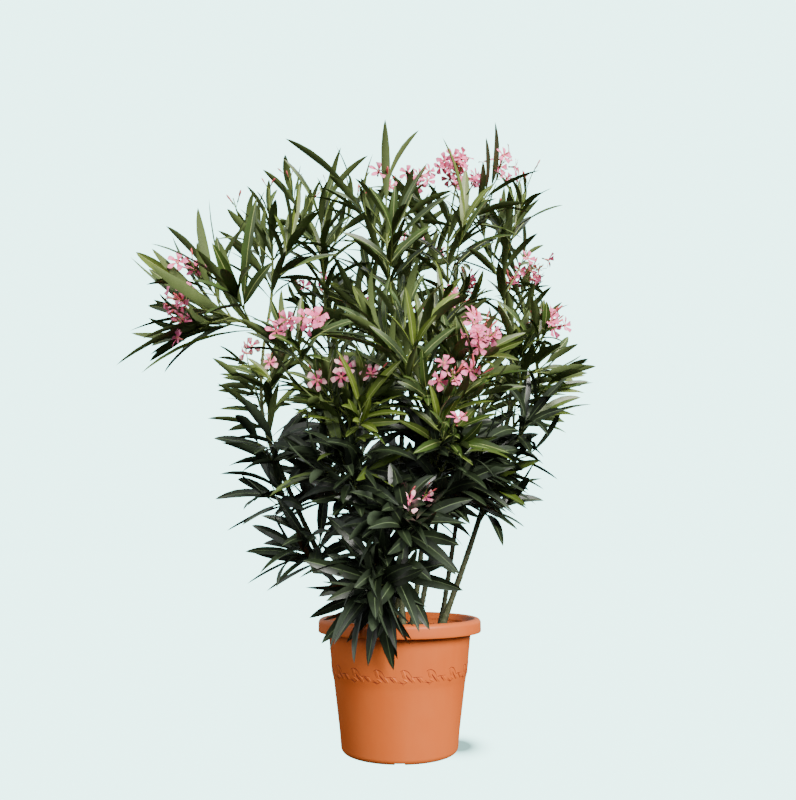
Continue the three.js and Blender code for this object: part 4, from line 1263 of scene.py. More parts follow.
# Radius of a branch at its foot and at its tip, and its number of sides.
RANKS = {"shoot": (0.0037, 0.0018, 8), "twig": (0.0022, 0.0013, 6), "sprig": (0.0014, 0.0009, 5)}


def add_branch(heap, curve, rank, habit):
    """A leafy branch: a slim tube that swells a little at each whorl."""
    foot, tip, sides = RANKS[rank]
    length = curve.length()
    shares = np.linspace(0, 1, max(5, round(length / 0.006)) + 1)
    radii = between(foot, tip, shares)
    for share in whorl_shares(curve, habit):
        radii = radii * (1 + 0.22 * np.exp(-(((shares - share) * length / 0.003) ** 2)))
    add_tube(heap, curve, shares, radii, sides)


# ---- leaves ----

# Where the rows of points of a leaf stand along it, and how broad it is there.
STATIONS = np.array((0.0, 0.06, 0.17, 0.33, 0.5, 0.67, 0.82, 0.93))
BREADTHS = np.array((0.14, 0.15, 0.58, 0.92, 1.0, 0.93, 0.66, 0.34))
MIDDLE_SHARE = 0.45        # where along a leaf its middle point lies


def leaf_faces():
    """Faces of one leaf with their kinds, first those of four corners, then those of three. There
    are five points a station: left edge, left and right of the midrib, right edge, underside;
    then the tip."""
    quads = []
    last, tip = 5 * len(STATIONS) - 5, 5 * len(STATIONS)
    for low in range(0, last, 5):
        high, stalk = low + 5, low == 0
        quads += [((low + strip, low + strip + 1, high + strip + 1, high + strip),
                   "rib" if strip == 1 or stalk else "blade") for strip in range(3)]
        quads += [(face, "rib" if stalk else "under") for face in (
            (low, high, high + 4, low + 4), (low + 4, high + 4, high + 3, low + 3))]
    threes = [((last + strip, last + strip + 1, tip), kind)
              for strip, kind in enumerate(("blade", "rib", "blade"))]
    threes += [((last, tip, last + 4), "under"), ((last + 4, tip, last + 3), "under")]
    threes += [(face, "rib") for face in ((4, 3, 2), (4, 2, 1), (4, 1, 0))]
    return quads, threes


def leaf_points(feet, middles, tips, sides, halves, folds, twists, sways, thickness):
    """All points of many leaves at once, as an array of leaf, point and axis."""
    m, shares = MIDDLE_SHARE, np.append(STATIONS, 1.0)
    bends = (middles - (1 - m) ** 2 * feet - m * m * tips) / (2 * m * (1 - m))
    midrib = Curve(feet[:, None], bends[:, None], tips[:, None])
    lines, along = midrib.at(shares), midrib.heading(shares)
    side = unit(sides[:, None] - along * (along * sides[:, None]).sum(-1, keepdims=True))
    lines = lines + side * (sways[:, None] * shares**2)[..., None]
    facing = np.cross(side, along)
    turn = (twists[:, None] * shares)[..., None]
    aside = side * np.cos(turn) + facing * np.sin(turn)
    facing = facing * np.cos(turn) - side * np.sin(turn)
    wide = halves[:, None] * BREADTHS
    rib = np.minimum(halves[:, None] * 0.095 * (1 - 0.6 * STATIONS), 0.55 * wide)
    up, out = np.sin(folds)[:, None], np.cos(folds)[:, None]
    base, aside, facing = lines[:, :-1], aside[:, :-1], facing[:, :-1]
    keel = thickness * (1.6 - STATIONS) * np.ones_like(wide)
    rows = [
        base + aside * (way * half * out)[..., None] + facing * (half * up)[..., None]
        for way, half in ((-1, wide), (-1, rib), (1, rib), (1, wide))
    ]
    rows.append(base - facing * keel[..., None])
    stacked = np.stack(rows, 2).reshape(len(feet), -1, 3)
    return np.concatenate([stacked, lines[:, -1:]], 1)


def leaf_tone(mass, branch, whorl, share, height):
    """The tone of a spray: fresh at young tips, dark low down and inside."""
    dice = chance(mass.seed, branch, whorl, 40)
    if mass.habit == "young":
        if share > 0.8 and dice < 0.4:
            return "fresh"
        if share < 0.35 and dice > 0.45:
            return "deep"
        return "olive" if dice < 0.42 else "leaf"
    if height > 0.55 and share > 0.9 and dice < 0.22:
        return "olive"
    if dice < 0.55:
        return "black"
    return "deep" if dice < 0.85 else "grey"


# The tones of a habit's leaves, in the order of their material slots.
TONES = {"young": ("leaf", "olive", "fresh", "deep"), "old": ("black", "deep", "grey", "olive")}
# Masses whose leaves lie out level, and masses with broader leaves than their habit's.
SPLAYED = ("foliage_left_side", "foliage_left_mid", "foliage_right_side")
WIDE_LEAVES = {"foliage_front_hanging": 1.22, "foliage_front_low": 1.15, "foliage_far_left": 1.15}
# Young leaves over this height are thinned out by this share.
THIN_HEIGHT, THIN_SHARE = 1.0, 0.22
# Shoots that end this high and this near the axis have long leaves at their ends.
TALL_HEIGHT, TALL_REACH, TALL_LEAF = 1.15, 0.26, 1.35
UNDER_TRUSS = (0.8, 0.62)  # length of the leaves in the last two whorls under a truss
SPRAY_THINNED, SPRAY_LEAF = 0.3, 1.65       # the far left spray has fewer and longer leaves
BLOOM_ROOM = 0.017         # leaves stay this far from the place before a bloom
SHORT_OF_BOX = 0.2         # the least share of a leaf that the box may leave


def scaled(line, share):
    """A leaf made longer or shorter, but no longer than the part's box allows."""
    foot, middle, tip, side, reach = line
    way = tip - foot
    for axis in range(3):
        room = (BOX_HIGH if way[axis] > 0 else BOX_LOW)[axis] - foot[axis]
        if abs(way[axis]) > 1e-6:
            share = min(share, max(SHORT_OF_BOX, room / way[axis]))
    return foot, between(foot, middle, share), between(foot, tip, share), side, reach * share


def laid(foot, way, reach):
    """A leaf along a slope, with a slight arch."""
    middle = foot + way * MIDDLE_SHARE * reach + np.array((0, 0, 0.03 * reach))
    return foot, middle, foot + way * reach, unit(np.cross(way, (0, 0, 1))), reach


def lifted(line):
    """Turns a leaf that points steeply down until it only slopes, its upper face to the sky."""
    foot, _, tip, _, reach = line
    drop = (foot - tip)[2] / reach
    if drop < 0.5:
        return line
    level = (tip - foot)[:2] / reach + 0.35 * unit(foot * (1, 1, 0))[:2]
    return laid(foot, np.append(unit(level) * 0.9, -0.36 - 0.1 * (drop - 0.5)), reach)


def splayed(line, roll):
    """Lays a leaf that points away from the middle of the bush out level, as side leaves lie;
    roll, in radians, tips it over its midrib."""
    foot, _, tip, _, reach = line
    outward = unit(foot * (1, 1, 0))
    way = (tip - foot) / reach
    if way @ outward < -0.1:
        return line
    way = unit(way * (1, 1, 0.35) + 0.35 * outward)
    foot, middle, tip, side, reach = laid(foot, way, reach)
    side = side * math.cos(roll) + np.cross(side, way) * math.sin(roll)
    return foot, middle, tip - np.array((0, 0, 0.05 * reach)), side, reach


def bloom_room(plant):
    """The places at and before the open blooms, which leaves keep out of."""
    blooms = gather_blossom(plant).blooms
    throats, faces = (np.array([row[i] for row in blooms]) for i in (0, 1))
    return np.concatenate([throats + faces * ahead for ahead in (0.004, 0.034)])


def gather_leaves(plant, mass, open_to):
    """The midrib line, habit, tone, keys and extra width of every leaf of a mass. The last leaves
    of a tall shoot are long, those under a truss are short, and those that would hang straight
    down lift themselves to the light, but for the front sprays near the rim."""
    rows = []
    tall = mass.tip[2] > TALL_HEIGHT and mass.tip[1] < TALL_REACH
    ends = (mass.shoot, *mass.twigs[-2:]) if mass.blooms + mass.buds else ()
    for number, curve, habit_name, _ in plant.branches(mass):
        habit = HABITS[habit_name]
        shares = whorl_shares(curve, habit)
        last = len(shares) - 1
        flowering = any(curve is end for end in ends)
        for whorl, share in enumerate(shares):
            height = float(curve.at(share)[2])
            tone = leaf_tone(mass, number, whorl, share, height)
            thinned = mass.habit == "young" and height > THIN_HEIGHT
            for index in range(WHORL):
                keys = (mass.seed, number, whorl, index)
                line = leaf_line(plant, mass, curve, habit, share, keys)
                if line is None or (thinned and chance(*keys, 25) < THIN_SHARE):
                    continue
                if index == 0 and whorl >= last - 1 and tall:
                    line = scaled(line, TALL_LEAF)
                elif flowering and whorl >= last - 1:
                    line = scaled(line, UNDER_TRUSS[whorl - last + 1])
                elif mass.name == "foliage_far_left":
                    if chance(*keys, 27) < SPRAY_THINNED:
                        continue
                    line = scaled(line, SPRAY_LEAF)
                if mass.on != "stem_front":
                    line = lifted(line)
                if mass.name in SPLAYED:
                    line = splayed(line, 2.2 * (chance(*keys, 26) - 0.5))
                line = scaled(line, 1.0)
                spots = between(line[1], line[2], np.linspace(-0.5, 1, 5)[:, None])
                if np.linalg.norm(spots[:, None] - open_to, axis=-1).min() >= BLOOM_ROOM:
                    rows.append((*line, habit, tone, keys, WIDE_LEAVES.get(mass.name, 1.0)))
    return rows


def add_leaves(heap, rows, settings, tones, young):
    """Adds leaves to a heap; slots are the tones, then the midrib, then the underside."""
    *lines, habits, leaf_tones, keys, extra_widths = zip(*rows)
    feet, middles, tips, sides, reaches = map(np.array, lines)
    width = settings.young_width if young else settings.old_width
    base = HABITS["young" if young else "old"]["width"]
    half_widths, lengths = np.array([(habit["width"] / 2, habit["leaf"]) for habit in habits]).T
    dice = np.array([[chance(*key, purpose) for purpose in (21, 22, 23, 24)] for key in keys])
    halves = half_widths * width / base
    halves = halves * between(0.82, 1.15, dice[:, 0])
    halves = halves * np.sqrt(reaches / lengths / 0.88) * np.array(extra_widths)
    folds = settings.fold * between(0.4, 1.7, dice[:, 1])
    twists = np.radians(between(-34, 34, dice[:, 2]))
    sways = reaches * between(-0.07, 0.07, dice[:, 3])
    points = leaf_points(
        feet, middles, tips, sides, halves, folds, twists, sways, settings.thickness
    )
    each = points.shape[1]
    offsets = (np.arange(len(rows)) * each)[:, None, None]
    tone = np.array([tones.index(name) for name in leaf_tones])[:, None]
    fixed_slots = {"blade": -1, "rib": len(tones), "under": len(tones) + 1}
    blocks, slots = [], []
    for faces in leaf_faces():
        corners, kinds = zip(*faces)
        blocks.append((np.array(corners) + offsets).reshape(-1, len(corners[0])))
        fixed = np.array([fixed_slots[kind] for kind in kinds])
        slots.append(np.where(fixed < 0, tone, fixed).ravel())
    rims = np.zeros(each, bool)
    rims[[5 * s + k for s in range(len(STATIONS)) for k in (0, 3)] + [each - 1]] = True
    heap.add(points, blocks, np.concatenate(slots), np.tile(rims, len(rows)))


# ---- blossom ----


class Blossom:
    """Where flowers, buds and their stalks stand."""

    def __init__(self):
        self.blooms, self.buds, self.stalks = [], [], []


def dome_way(heading, across, upward, turn, spread):
    """A direction that spreads from the heading, turned about it."""
    return (heading * math.cos(spread)
            + across * math.sin(spread) * math.cos(turn)
            + upward * math.sin(spread) * math.sin(turn))


def truss_places(curve, count, seed):
    """The places of a truss's flowers: they leave the end of a twig in a spiral dome."""
    end, heading = curve.at(1), curve.heading(1)
    across, upward = square_to(heading, curve.reference())
    for index in range(count):
        turn = index * GOLDEN_ANGLE + 2 * math.pi * chance(seed, 77)
        spread = TRUSS_OPEN * math.sqrt((index + 0.4) / count)
        foot = end - heading * (0.002 + TRUSS_STEP * index)
        yield foot, dome_way(heading, across, upward, turn, spread)


def window_pull(point):
    """How strongly the window's light draws what grows at a point."""
    return float(np.clip(0.8 - 2.5 * point[1], 0, 0.9))


def turned_out(point, way, *keys):
    """Blooms turn their faces out of the crown, and those near the window to its light."""
    point = np.asarray(point, float)
    outward = unit(point * (1, 1, 0))
    stray = np.array([chance(*keys, purpose) - 0.5 for purpose in (51, 52, 53)])
    return unit(0.6 * way + 0.5 * outward + window_pull(point) * WINDOW + 2.0 * stray)


STALK, STEM, BRANCH, BUD_STALK = 0.0008, 0.0011, 0.001, 0.0007      # radii of the stalks
MANY = 4                   # a truss with more extra blooms than this has branches
BRANCH_OPEN = math.radians(72)
BLUSH_TONE = 2


def add_truss(blossom, curve, blooms, buds, seed, tone, fullness, pull):
    """One truss: its blooms where the rule has them, more on its own small branches, and buds."""
    end, heading = curve.at(1), curve.heading(1)
    heading = unit(heading + 0.8 * window_pull(end) * WINDOW + pull)
    axes = (heading, *square_to(heading, curve.reference()))

    def add_bloom(foot, way, stalk, throat, index, kind, roll, size):
        """A bloom on its stalk, its throat a little further on."""
        place_of_throat = foot + way * throat
        blossom.stalks.append((foot, foot + way * stalk, STALK))
        face = turned_out(place_of_throat, way, seed, index, kind)
        blossom.blooms.append((place_of_throat, face, chance(seed, index, roll), size, tone))

    for index, (foot, way) in enumerate(truss_places(curve, blooms, seed)):
        size = drawn(0.92, 1.1, seed, index, 32)
        add_bloom(foot, way, 0.009, BLOOM_REACH, index, 1, 31, size)
    rise = 0.022 + 0.005 * blooms if blooms else 0.052
    stem = end + heading * rise * drawn(0.85, 1.15, seed, 33)
    if blooms + buds:
        blossom.stalks.append((end - heading * 0.004, stem, STEM))
    extra = round(blooms * fullness + 0.6 * chance(seed, 34)) if blooms else 0
    branches = [(end, stem)]
    for branch in range(3 if extra > MANY else 0):
        foot = between(end, stem, 0.1 + 0.25 * branch)
        way = dome_way(*axes, (branch + chance(seed, 47)) * 2.1, BRANCH_OPEN)
        tip = foot + way * (0.02 + 0.022 * chance(seed, branch, 48))
        blossom.stalks.append((foot, tip, BRANCH))
        branches.append((foot, tip))
    for index in range(extra):
        turn = index * GOLDEN_ANGLE + 6.28 * chance(seed, 35)
        spread = math.radians(30 + (84 if extra > MANY else 42) * chance(seed, index, 36))
        way = dome_way(*axes, turn, spread)
        foot = between(*branches[-(index % len(branches))], 0.3 + 0.6 * chance(seed, index, 37))
        stalk = 0.01 + 0.02 * chance(seed, index, 38)
        size = drawn(0.86, 1.06, seed, index, 40)
        add_bloom(foot, way, stalk, stalk + 0.016, index, 2, 39, size)
    bud_count = buds * 3 + (3 + round(3 * chance(seed, 41)) if blooms else 0)
    bud_count = bud_count // 2 if tone == BLUSH_TONE else bud_count
    for index in range(bud_count):
        turn = (index + 0.5) * GOLDEN_ANGLE + 6.28 * chance(seed, 42)
        spread = math.radians(6 + 40 * math.sqrt((index + 0.3) / bud_count))
        way = dome_way(*axes, turn, spread)
        foot = between(end, stem, drawn(0.4, 1.0, seed, index, 43))
        tip = foot + way * (0.007 + 0.012 * chance(seed, index, 44))
        size = between(0.38, 1.0, chance(seed, index, 45) ** 1.3)
        blossom.stalks.append((foot, tip, BUD_STALK))
        blossom.buds.append((tip, way, chance(seed, index, 46), size, tone))


def gather_blossom(plant):
    """Blossom sits at the ends of each shoot and of its last twigs, a few to each end. The
    trusses of a mass that opens many more blooms than planned lean towards the shoot's end."""
    blossom = Blossom()
    for mass in plant.masses:
        ends = [mass.shoot, *mass.twigs[-2:]]
        tone = BLUSH_TONE if mass.name in BLUSHING else int(chance(mass.seed, 50) * 2)
        fullness = FULL_TRUSSES.get(mass.name, 0.2)
        for index, curve in enumerate(ends):
            blooms, buds = (
                (number + len(ends) - 1 - index) // len(ends) for number in (mass.blooms, mass.buds)
            )
            if blooms or buds:
                pull = (6.0 if fullness > 1 else 0.0) * (mass.shoot.at(1) - curve.at(1))
                add_truss(blossom, curve, blooms, buds, mass.seed * 10 + index, tone,
                          fullness * (2.0 if index == 0 else 0.45), pull)
    return blossom


def grid_shell(heap, grid, thickness, slots):
    """A thin closed sheet from a grid of points, seen from its upper side with rows to the right
    of columns; slots gives each row of faces its material."""
    rows, columns = grid.shape[:2]
    along = np.gradient(grid, axis=0)
    across = np.gradient(grid, axis=1)
    normal = unit(np.cross(across, along))
    border = np.zeros((rows, columns), bool)
    border[[0, -1], :] = True
    border[:, [0, -1]] = True
    numbers = np.arange(rows * columns).reshape(rows, columns)
    under = numbers.copy()
    inside = ~border
    under[inside] = rows * columns + np.arange(inside.sum())
    points = np.concatenate([grid.reshape(-1, 3), (grid - normal * thickness)[inside]])
    rims = np.concatenate([border.ravel(), np.zeros(inside.sum(), bool)])

    def quads(n):
        return np.stack([n[:-1, :-1], n[:-1, 1:], n[1:, 1:], n[1:, :-1]], -1)

    top, bottom = quads(numbers), quads(under)[..., ::-1]
    row_slots = np.repeat(np.asarray(slots), columns - 1)
    heap.add(
        points, np.concatenate([top.reshape(-1, 4), bottom.reshape(-1, 4)]),
        np.concatenate([row_slots, row_slots]), rims,
    )


THROAT, FRINGE = 0.003, 0.0046      # radius of a bloom's throat, and height of its fringe


def bloom_mesh(settings, cup):
    """An open bloom: five skewed petals, a throat with its fringe, a tube and a calyx; cup is how
    far the petals rise."""
    heap = Heap()
    for petal in range(5):
        turn = petal * 2 * math.pi / 5
        c, s = math.cos(turn), math.sin(turn)
        grid = np.empty((5, 4, 3))
        for row, share in enumerate((0.0, 0.22, 0.5, 0.78, 1.0)):
            half = 0.001 + 0.0053 * math.sin(math.pi / 2 * min(1.0, share * 1.18)) ** 1.25
            half *= 0.72 if share == 1.0 else 1.0
            for column, side in enumerate((-1.0, -0.35, 0.35, 1.0)):
                reach = THROAT + (settings.radius - THROAT) * share
                reach -= 0.0022 * side * share ** 3 + 0.001 * abs(side) * share ** 4
                aside = half * side + 0.0032 * share ** 2
                rise = cup * share ** 1.25 - 0.0028 * share ** 4
                rise += 0.0019 * side * share + 0.0012 * side * side * share
                grid[row, column] = reach * c - aside * s, reach * s + aside * c, rise
        grid_shell(heap, grid, 0.0004, (1, 1, 0, 0))
    for tooth in range(10):
        turn = (tooth + 0.25) * 2 * math.pi / 10
        out = np.array((math.cos(turn), math.sin(turn), 0.0))
        side = np.array((-out[1], out[0], 0.0))
        foot = out * THROAT
        tip = out * between(THROAT, FRINGE, tooth % 2) + np.array((0, 0, FRINGE))
        heap.add([foot - side * 0.0007, foot + side * 0.0007, tip, foot - out * 0.0008],
                 np.array(((0, 1, 2), (1, 3, 2), (3, 0, 2), (0, 3, 1))), 2)
    foot = -settings.tube
    add_spindle(heap, ((0.0012, foot), (0.0014, -0.013), (0.0021, -0.008), (0.003, -0.003),
                       (0.0034, 0.0006)), 8, 2)
    add_spindle(heap, ((0.0007, foot - 0.001), (0.0021, foot + 0.0012), (0.0019, foot + 0.004),
                       (0.0014, foot + 0.006)), 6, 3)
    return mark_parts(heap.mesh("bloom", [None] * 4))


def add_spindle(heap, profile, sides, slot):
    """A small turned shape; the profile goes up the axis."""
    profile = np.array(profile)
    caps = [(0, 0, height) for height in profile[[0, -1], 1]]
    add_rings(heap, turned(profile, np.arange(sides) / sides * 2 * math.pi), caps, slot)


def bud_mesh(settings):
    """A closed bud: a slender spindle over its calyx."""
    heap = Heap()
    profile = np.array(((0.001, 0.0), (0.0012, 0.3), (0.0017, 0.5), (0.0026, 0.72), (0.0019, 0.9),
                        (0.0003, 1.0)))
    add_spindle(heap, profile * (1, settings.bud), 6, 0)
    add_spindle(heap, ((0.0007, -0.0008), (0.002, 0.0014), (0.0018, 0.005), (0.0013, 0.0085)), 5, 1)
    return mark_parts(heap.mesh("bud", [None] * 2))


def points_piece(name, rows):
    """A piece of bare points that say how a copy on each is turned and sized."""
    mesh = bpy.data.meshes.new(name)
    mesh.from_pydata([row[0] for row in rows], [], [])
    turns, sizes = [], []
    for _, way, roll, size, _ in rows:
        quaternion = Vector(way).to_track_quat("Z", "Y")
        spin = Matrix.Rotation(roll * 2 * math.pi, 3, "Z")
        turns += list((quaternion.to_matrix() @ spin).to_euler())
        sizes.append(size)
    mesh.attributes.new("turn", "FLOAT_VECTOR", "POINT").data.foreach_set("vector", turns)
    mesh.attributes.new("size", "FLOAT", "POINT").data.foreach_set("value", sizes)
    return show(name, mesh)


# ---- operators ----


def settle(piece, slot_name, *nodes):
    """Says what a finished piece rides on and what it stands for; slot_name, its finish, is not used.
    """
    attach(piece, "root")
    if nodes:
        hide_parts(*nodes)


class OLEANDER_OT_pot(bpy.types.Operator):
    """Turn the pot with its rim, step and drain notches, and lay the garland round it"""

    bl_idname = "oleander.pot"
    bl_label = "Pot"

    def execute(self, context):
        pot = context.scene.oleander_pot
        shell, plastic = build_pot(pot)
        settle(shell, "pot_plastic", "pot")
        # The garland's lines are painted shade: a dark plastic that stands in for the shade in the
        # relief.
        painted_shade_lines = group_material(
            "Garland lines", bpy.data.node_groups["Moulded Plastic"],
            (pot.groove, shift(pot.groove, 1.6), pot.groove, 0.01, 0.7), (0.2, 0.0003), 0.2,
        )
        garland = show("pot_garland", bpy.data.meshes.new("pot_garland"))
        run_copies(garland, garland_tree(), "Motif", motif_mesh(pot),
                   {"Count": pot.motifs, "Groove": painted_shade_lines, "Body": plastic})
        settle(garland, "pot_plastic")
        return {"FINISHED"}


class OLEANDER_OT_soil(bpy.types.Operator):
    """Fill the pot with crumbly soil"""

    bl_idname = "oleander.soil"
    bl_label = "Soil"

    def execute(self, context):
        scene = context.scene
        settle(build_soil(scene.oleander_soil, scene.oleander_pot), "soil", "soil")
        return {"FINISHED"}


class OLEANDER_OT_limbs(bpy.types.Operator):
    """Grow the stems and boughs with their leaf scars"""

    bl_idname = "oleander.limbs"
    bl_label = "Stems and boughs"

    def execute(self, context):
        limbs = context.scene.oleander_limbs
        bark = bark_group()
        stem = group_material(
            "Stem bark", bark,
            (limbs.stem, limbs.stem_streak, limbs.dot, 0.72), (0.6, 0.0006), 0.35,
        )
        bough = group_material(
            "Bough bark", bark,
            (limbs.bough, limbs.bough_streak, shift(limbs.dot, 0.8), 0.6), (0.4, 0.0005), 0.4,
        )
        stems = [row[0] for row in STEMS]
        boughs = [row[0] for row in BOUGHS]
        settle(build_limbs(limbs, stems, "stems_bark", stem, 14, 0.0026), "bark", *stems)
        settle(build_limbs(limbs, boughs, "boughs_bark", bough, 12, 0.003), "green_bark", *boughs)
        return {"FINISHED"}


class OLEANDER_OT_twigs(bpy.types.Operator):
    """Grow the shoots, side twigs and finest twigs that the leaves stand on"""

    bl_idname = "oleander.twigs"
    bl_label = "Twigs"

    def execute(self, context):
        limbs = context.scene.oleander_limbs
        plant = grown()
        for habit in ("young", "old"):
            heap = Heap()
            for mass in plant.masses:
                if mass.habit == habit:
                    for _, curve, name, rank in plant.branches(mass):
                        add_branch(heap, curve, rank, HABITS[name])
            colour = limbs.twig if habit == "young" else shift(limbs.bough, 0.8)
            skin = skin_material(f"Twig skin {habit}", colour, shift(colour, 0.7))
            settle(heap.show(f"twigs_{habit}", skin), "green_bark")
        return {"FINISHED"}


# Name, the settings of colour and patches (or their share of the brightness), then roughness and
# gloss of a leaf's blade in each tone, its midrib and its underside.
LEAF_SKINS = {
    "black": ("Leaf black green", "black_green", "deep_green", 0.36, 0.6),
    "deep": ("Leaf deep green", "deep_green", "black_green", 0.38, 0.6),
    "grey": ("Leaf grey green", "grey_green", "deep_green", 0.42, 0.6),
    "leaf": ("Leaf green", "leaf_green", 0.7, 0.42, 0.5),
    "olive": ("Leaf olive green", "olive_green", 0.75, 0.42, 0.5),
    "fresh": ("Leaf fresh green", "fresh_green", 0.8, 0.45, 0.45),
    "rib_young": ("Midrib young", "rib_young", 0.8, 0.5, 0.4),
    "under_young": ("Underside young", "under_young", 0.85, 0.6, 0.3),
    "rib_old": ("Midrib old", "rib_old", 0.8, 0.5, 0.4),
    "under_old": ("Underside old", "under_old", 0.85, 0.6, 0.3),
}
LEAF_PIECES = (
    ("leaves_young_left", "young", True), ("leaves_young_right", "young", False),
    ("leaves_old_left", "old", True), ("leaves_old_right", "old", False),
)


class OLEANDER_OT_leaves(bpy.types.Operator):
    """Set whorls of long leaves on every branch"""

    bl_idname = "oleander.leaves"
    bl_label = "Leaves"

    def execute(self, context):
        leaves = context.scene.oleander_leaves
        plant = grown()
        room = bloom_room(plant)
        skins = material_set(leaves, LEAF_SKINS, leaf_material)
        for name, habit, left in LEAF_PIECES:
            masses = [m for m in plant.masses if m.habit == habit and (m.shoot.end[0] < 0) == left]
            rows = [row for mass in masses for row in gather_leaves(plant, mass, room)]
            heap = Heap()
            add_leaves(heap, rows, leaves, TONES[habit], habit == "young")
            kinds = (*TONES[habit], f"rib_{habit}", f"under_{habit}")
            piece = heap.show(name, *(skins[kind] for kind in kinds))
            settle(piece, f"{habit}_foliage", *[mass.name for mass in masses])
        return {"FINISHED"}


# The same for the parts of a flower, but for roughness and gloss.
FLOWER_SKINS = {
    "pale": ("Petal pale", "pale_pink", 1.12),
    "blush": ("Petal blush", "blush", 1.12),
    "rose": ("Petal rose", "rose_pink", "pale_pink"),
    "heart": ("Petal heart", "heart_pink", "rose_pink"),
    "throat": ("Throat", "throat", 0.8),
    "bud": ("Bud salmon", "salmon", 0.75),
    "calyx": ("Calyx", "calyx", 0.6),
}
BLOOM_TONES = (("pale", 1.0), ("rose", 1.7), ("blush", 1.3))     # and how much their petals rise


class OLEANDER_OT_blossom(bpy.types.Operator):
    """Open the blossom and buds on their stalks"""

    bl_idname = "oleander.blossom"
    bl_label = "Blossom"

    def execute(self, context):
        flowers = context.scene.oleander_blossom
        blossom = gather_blossom(grown())
        skins = material_set(flowers, FLOWER_SKINS, petal_material)
        calyx = skins["calyx"]
        tree = spread_tree("Spread Blooms", ("Petal", "Heart", "Throat", "Calyx"))
        inner = {"Size": 1.0, "Heart": skins["heart"], "Throat": skins["throat"], "Calyx": calyx}
        for tone, (label, rise) in enumerate(BLOOM_TONES):
            rows = [row for row in blossom.blooms if row[4] == tone]
            piece = points_piece(f"blooms_{label}", rows)
            run_copies(piece, tree, "Flower", bloom_mesh(flowers, flowers.dish * rise),
                       {"Petal": skins[label], **inner})
            settle(piece, "young_foliage")
        piece = points_piece("buds", blossom.buds)
        run_copies(piece, spread_tree("Spread Buds", ("Bud", "Calyx")), "Flower",
                   bud_mesh(flowers), {"Size": 1.0, "Bud": skins["bud"], "Calyx": calyx})
        settle(piece, "young_foliage")
        heap = Heap()
        for start, end, radius in blossom.stalks:
            curve = Curve(start, between(start, end, 0.5), end)
            add_tube(heap, curve, np.linspace(0, 1, 3), np.array((1.15, 0.95, 1.1)) * radius, 5)
        colour = shift(context.scene.oleander_limbs.twig, 1.25)
        skin = skin_material("Stalk skin", colour, shift(colour, 0.75))
        settle(heap.show("flower_stalks", skin), "green_bark")
        return {"FINISHED"}


# Lights of the studio: the side they shine from and their height, in degrees, how wide they are
# and their colour. Their strengths are settings.
SUNS = {
    "key": (-54, 29, 30, (1.0, 0.97, 0.93)),
    "fill": (-155, 24, 50, (1.0, 0.96, 0.92)),
    "top": (60, 72, 40, (0.92, 0.97, 1.0)),
}
SKY_COLOUR, ROOM_COLOUR = (0.86, 0.94, 1.0), (0.88, 1.0, 0.96)
SHADOW_PLACE, SHADOW_SHARES = (-1.375, -0.315, 0), (11.0, 7.0, 0)      # of the soft floor shadow
SHADOW_DEPTH, SHADOW_COLOUR = 0.9, 0.07
FLOOR_REACH, FLOOR_DROP = 60.0, 0.0002
CAMERA_PLACE, CAMERA_TILT, CAMERA_LENS = (-0.0036, -1.8, 0.4242), 100.3, 36.2


def floor_material(glow):
    """A pale glowing floor with a soft shadow beside the pot's foot."""
    material = bpy.data.materials.new("Floor")
    material.use_nodes = True
    tree = material.node_tree
    place = add_node(tree, "ShaderNodeTexCoord").outputs["Object"]
    feeds = (("Vector", place), ("Location", SHADOW_PLACE), ("Scale", SHADOW_SHARES))
    spot = add_node(tree, "ShaderNodeMapping", feeds).outputs["Vector"]
    ball = add_node(tree, "ShaderNodeTexGradient", [(0, spot)], gradient_type="QUADRATIC_SPHERE")
    shade = range_node(tree, ball.outputs["Fac"], 0.0, 0.5, 0.0, SHADOW_DEPTH)
    dark = tuple(part * SHADOW_COLOUR for part in glow)
    path = add_node(tree, "ShaderNodeLightPath")
    for label, value in (
        ("Base Color", (0.02, 0.02, 0.02)), ("Roughness", 1.0), ("Specular IOR Level", 0.0),
        ("Emission Color", mix_node(tree, shade, glow, dark)),
        ("Emission Strength", path.outputs["Is Camera Ray"]),
    ):
        feed(tree, tree.nodes["Principled BSDF"].inputs[label], value)
    return material


def studio_world(stage, glow):
    """Light from all round, a room for reflections and the plain backdrop for the camera."""
    world = bpy.data.worlds.new("Studio")
    world.use_nodes = True
    tree = world.node_tree
    tree.nodes.clear()
    path = add_node(tree, "ShaderNodeLightPath")

    def background(colour, strength):
        feeds = (("Color", colour), ("Strength", strength))
        return add_node(tree, "ShaderNodeBackground", feeds).outputs[0]

    light = background(SKY_COLOUR, stage.sky_strength)
    for ray, seen in (
        ("Is Glossy Ray", background(ROOM_COLOUR, stage.sheen_strength)),
        ("Is Camera Ray", background(glow, 1.0)),
    ):
        feeds = ((0, path.outputs[ray]), (1, light), (2, seen))
        light = add_node(tree, "ShaderNodeMixShader", feeds).outputs[0]
    add_node(tree, "ShaderNodeOutputWorld", [("Surface", light)])
    return world


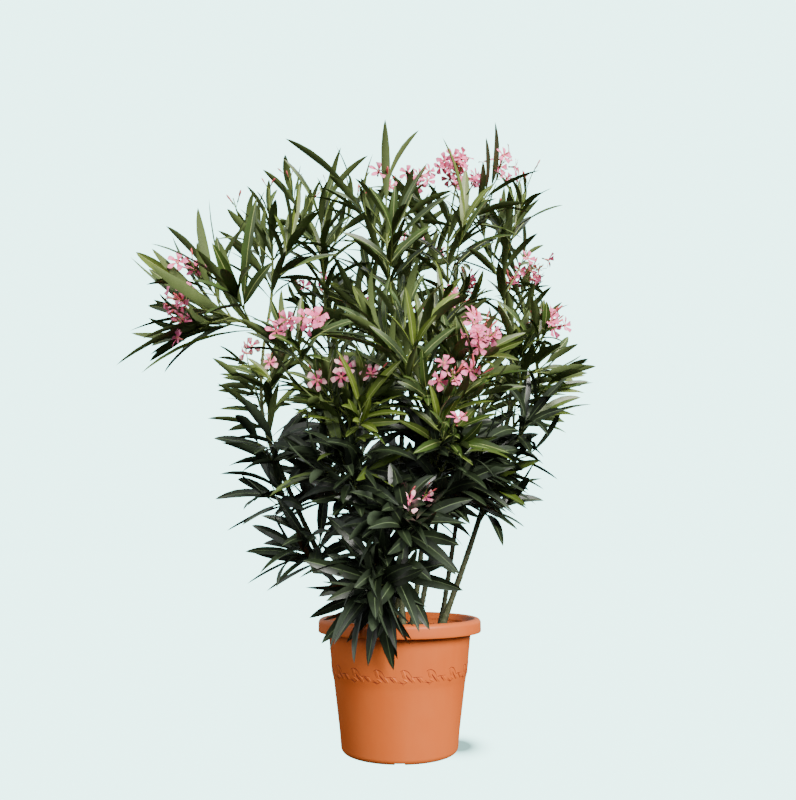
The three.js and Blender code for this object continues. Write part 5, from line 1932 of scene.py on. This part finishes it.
class OLEANDER_OT_stage(bpy.types.Operator):
    """Set the pale floor, the soft studio lights and the camera"""

    bl_idname = "oleander.stage"
    bl_label = "Stage"

    def execute(self, context):
        scene = context.scene
        stage = scene.oleander_stage
        glow = tuple(part * stage.backdrop_strength for part in stage.backdrop)
        scene.world = studio_world(stage, glow)
        mesh = bpy.data.meshes.new("floor")
        corners = ((-1, -1), (1, -1), (1, 1), (-1, 1))
        points = [(FLOOR_REACH * x, FLOOR_REACH * y, 0) for x, y in corners]
        mesh.from_pydata(points, [], [(0, 1, 2, 3)])
        mesh.materials.append(floor_material(glow))
        floor = show("floor", mesh)
        floor.location.z = -FLOOR_DROP
        floor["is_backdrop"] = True
        for name, (heading, height, spread, colour) in SUNS.items():
            light = bpy.data.lights.new(name, "SUN")
            light.energy = getattr(stage, f"{name}_strength")
            light.angle, light.color = math.radians(spread), colour
            rise = math.radians(height)
            way = Vector(place(heading, math.cos(rise), math.sin(rise)))
            show(name, light).rotation_euler = way.to_track_quat("Z", "Y").to_euler()
        lens = bpy.data.cameras.new("camera")
        lens.lens, lens.sensor_width, lens.sensor_fit = CAMERA_LENS, 36, "AUTO"
        camera = show("camera", lens)
        camera.location = CAMERA_PLACE
        camera.rotation_euler = (math.radians(CAMERA_TILT), 0, 0)
        scene.camera = camera
        return {"FINISHED"}


class OLEANDER_PT_panel(bpy.types.Panel):
    """Lists what makes up the potted oleander"""

    bl_label = "Oleander"
    bl_idname = "OLEANDER_PT_panel"
    bl_space_type = "VIEW_3D"
    bl_region_type = "UI"
    bl_category = "Oleander"

    def draw(self, context):
        for operator in OPERATORS:
            self.layout.operator(operator.bl_idname)


SETTINGS = {
    "oleander_pot": PotSettings,
    "oleander_soil": SoilSettings,
    "oleander_limbs": LimbSettings,
    "oleander_leaves": LeafSettings,
    "oleander_blossom": BlossomSettings,
    "oleander_stage": StageSettings,
}
OPERATORS = (
    OLEANDER_OT_pot, OLEANDER_OT_soil, OLEANDER_OT_limbs, OLEANDER_OT_twigs, OLEANDER_OT_leaves,
    OLEANDER_OT_blossom, OLEANDER_OT_stage,
)


def register():
    for name, group in SETTINGS.items():
        bpy.utils.register_class(group)
        setattr(bpy.types.Scene, name, bpy.props.PointerProperty(type=group))
    for item in (*OPERATORS, OLEANDER_PT_panel):
        bpy.utils.register_class(item)


def unregister():
    for item in (OLEANDER_PT_panel, *reversed(OPERATORS)):
        bpy.utils.unregister_class(item)
    for name, group in SETTINGS.items():
        delattr(bpy.types.Scene, name)
        bpy.utils.unregister_class(group)


def main():
    register()
    bpy.ops.oleander.pot()
    bpy.ops.oleander.soil()
    bpy.ops.oleander.limbs()
    bpy.ops.oleander.twigs()
    bpy.ops.oleander.leaves()
    bpy.ops.oleander.blossom()
    bpy.ops.oleander.stage()
    bpy.context.view_layer.update()
    boxes = {"cad": CAD_BOX, "visual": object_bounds()}
    {name: [list(corner) for corner in box] for name, box in boxes.items()}


if __name__ == "__main__":
    main()
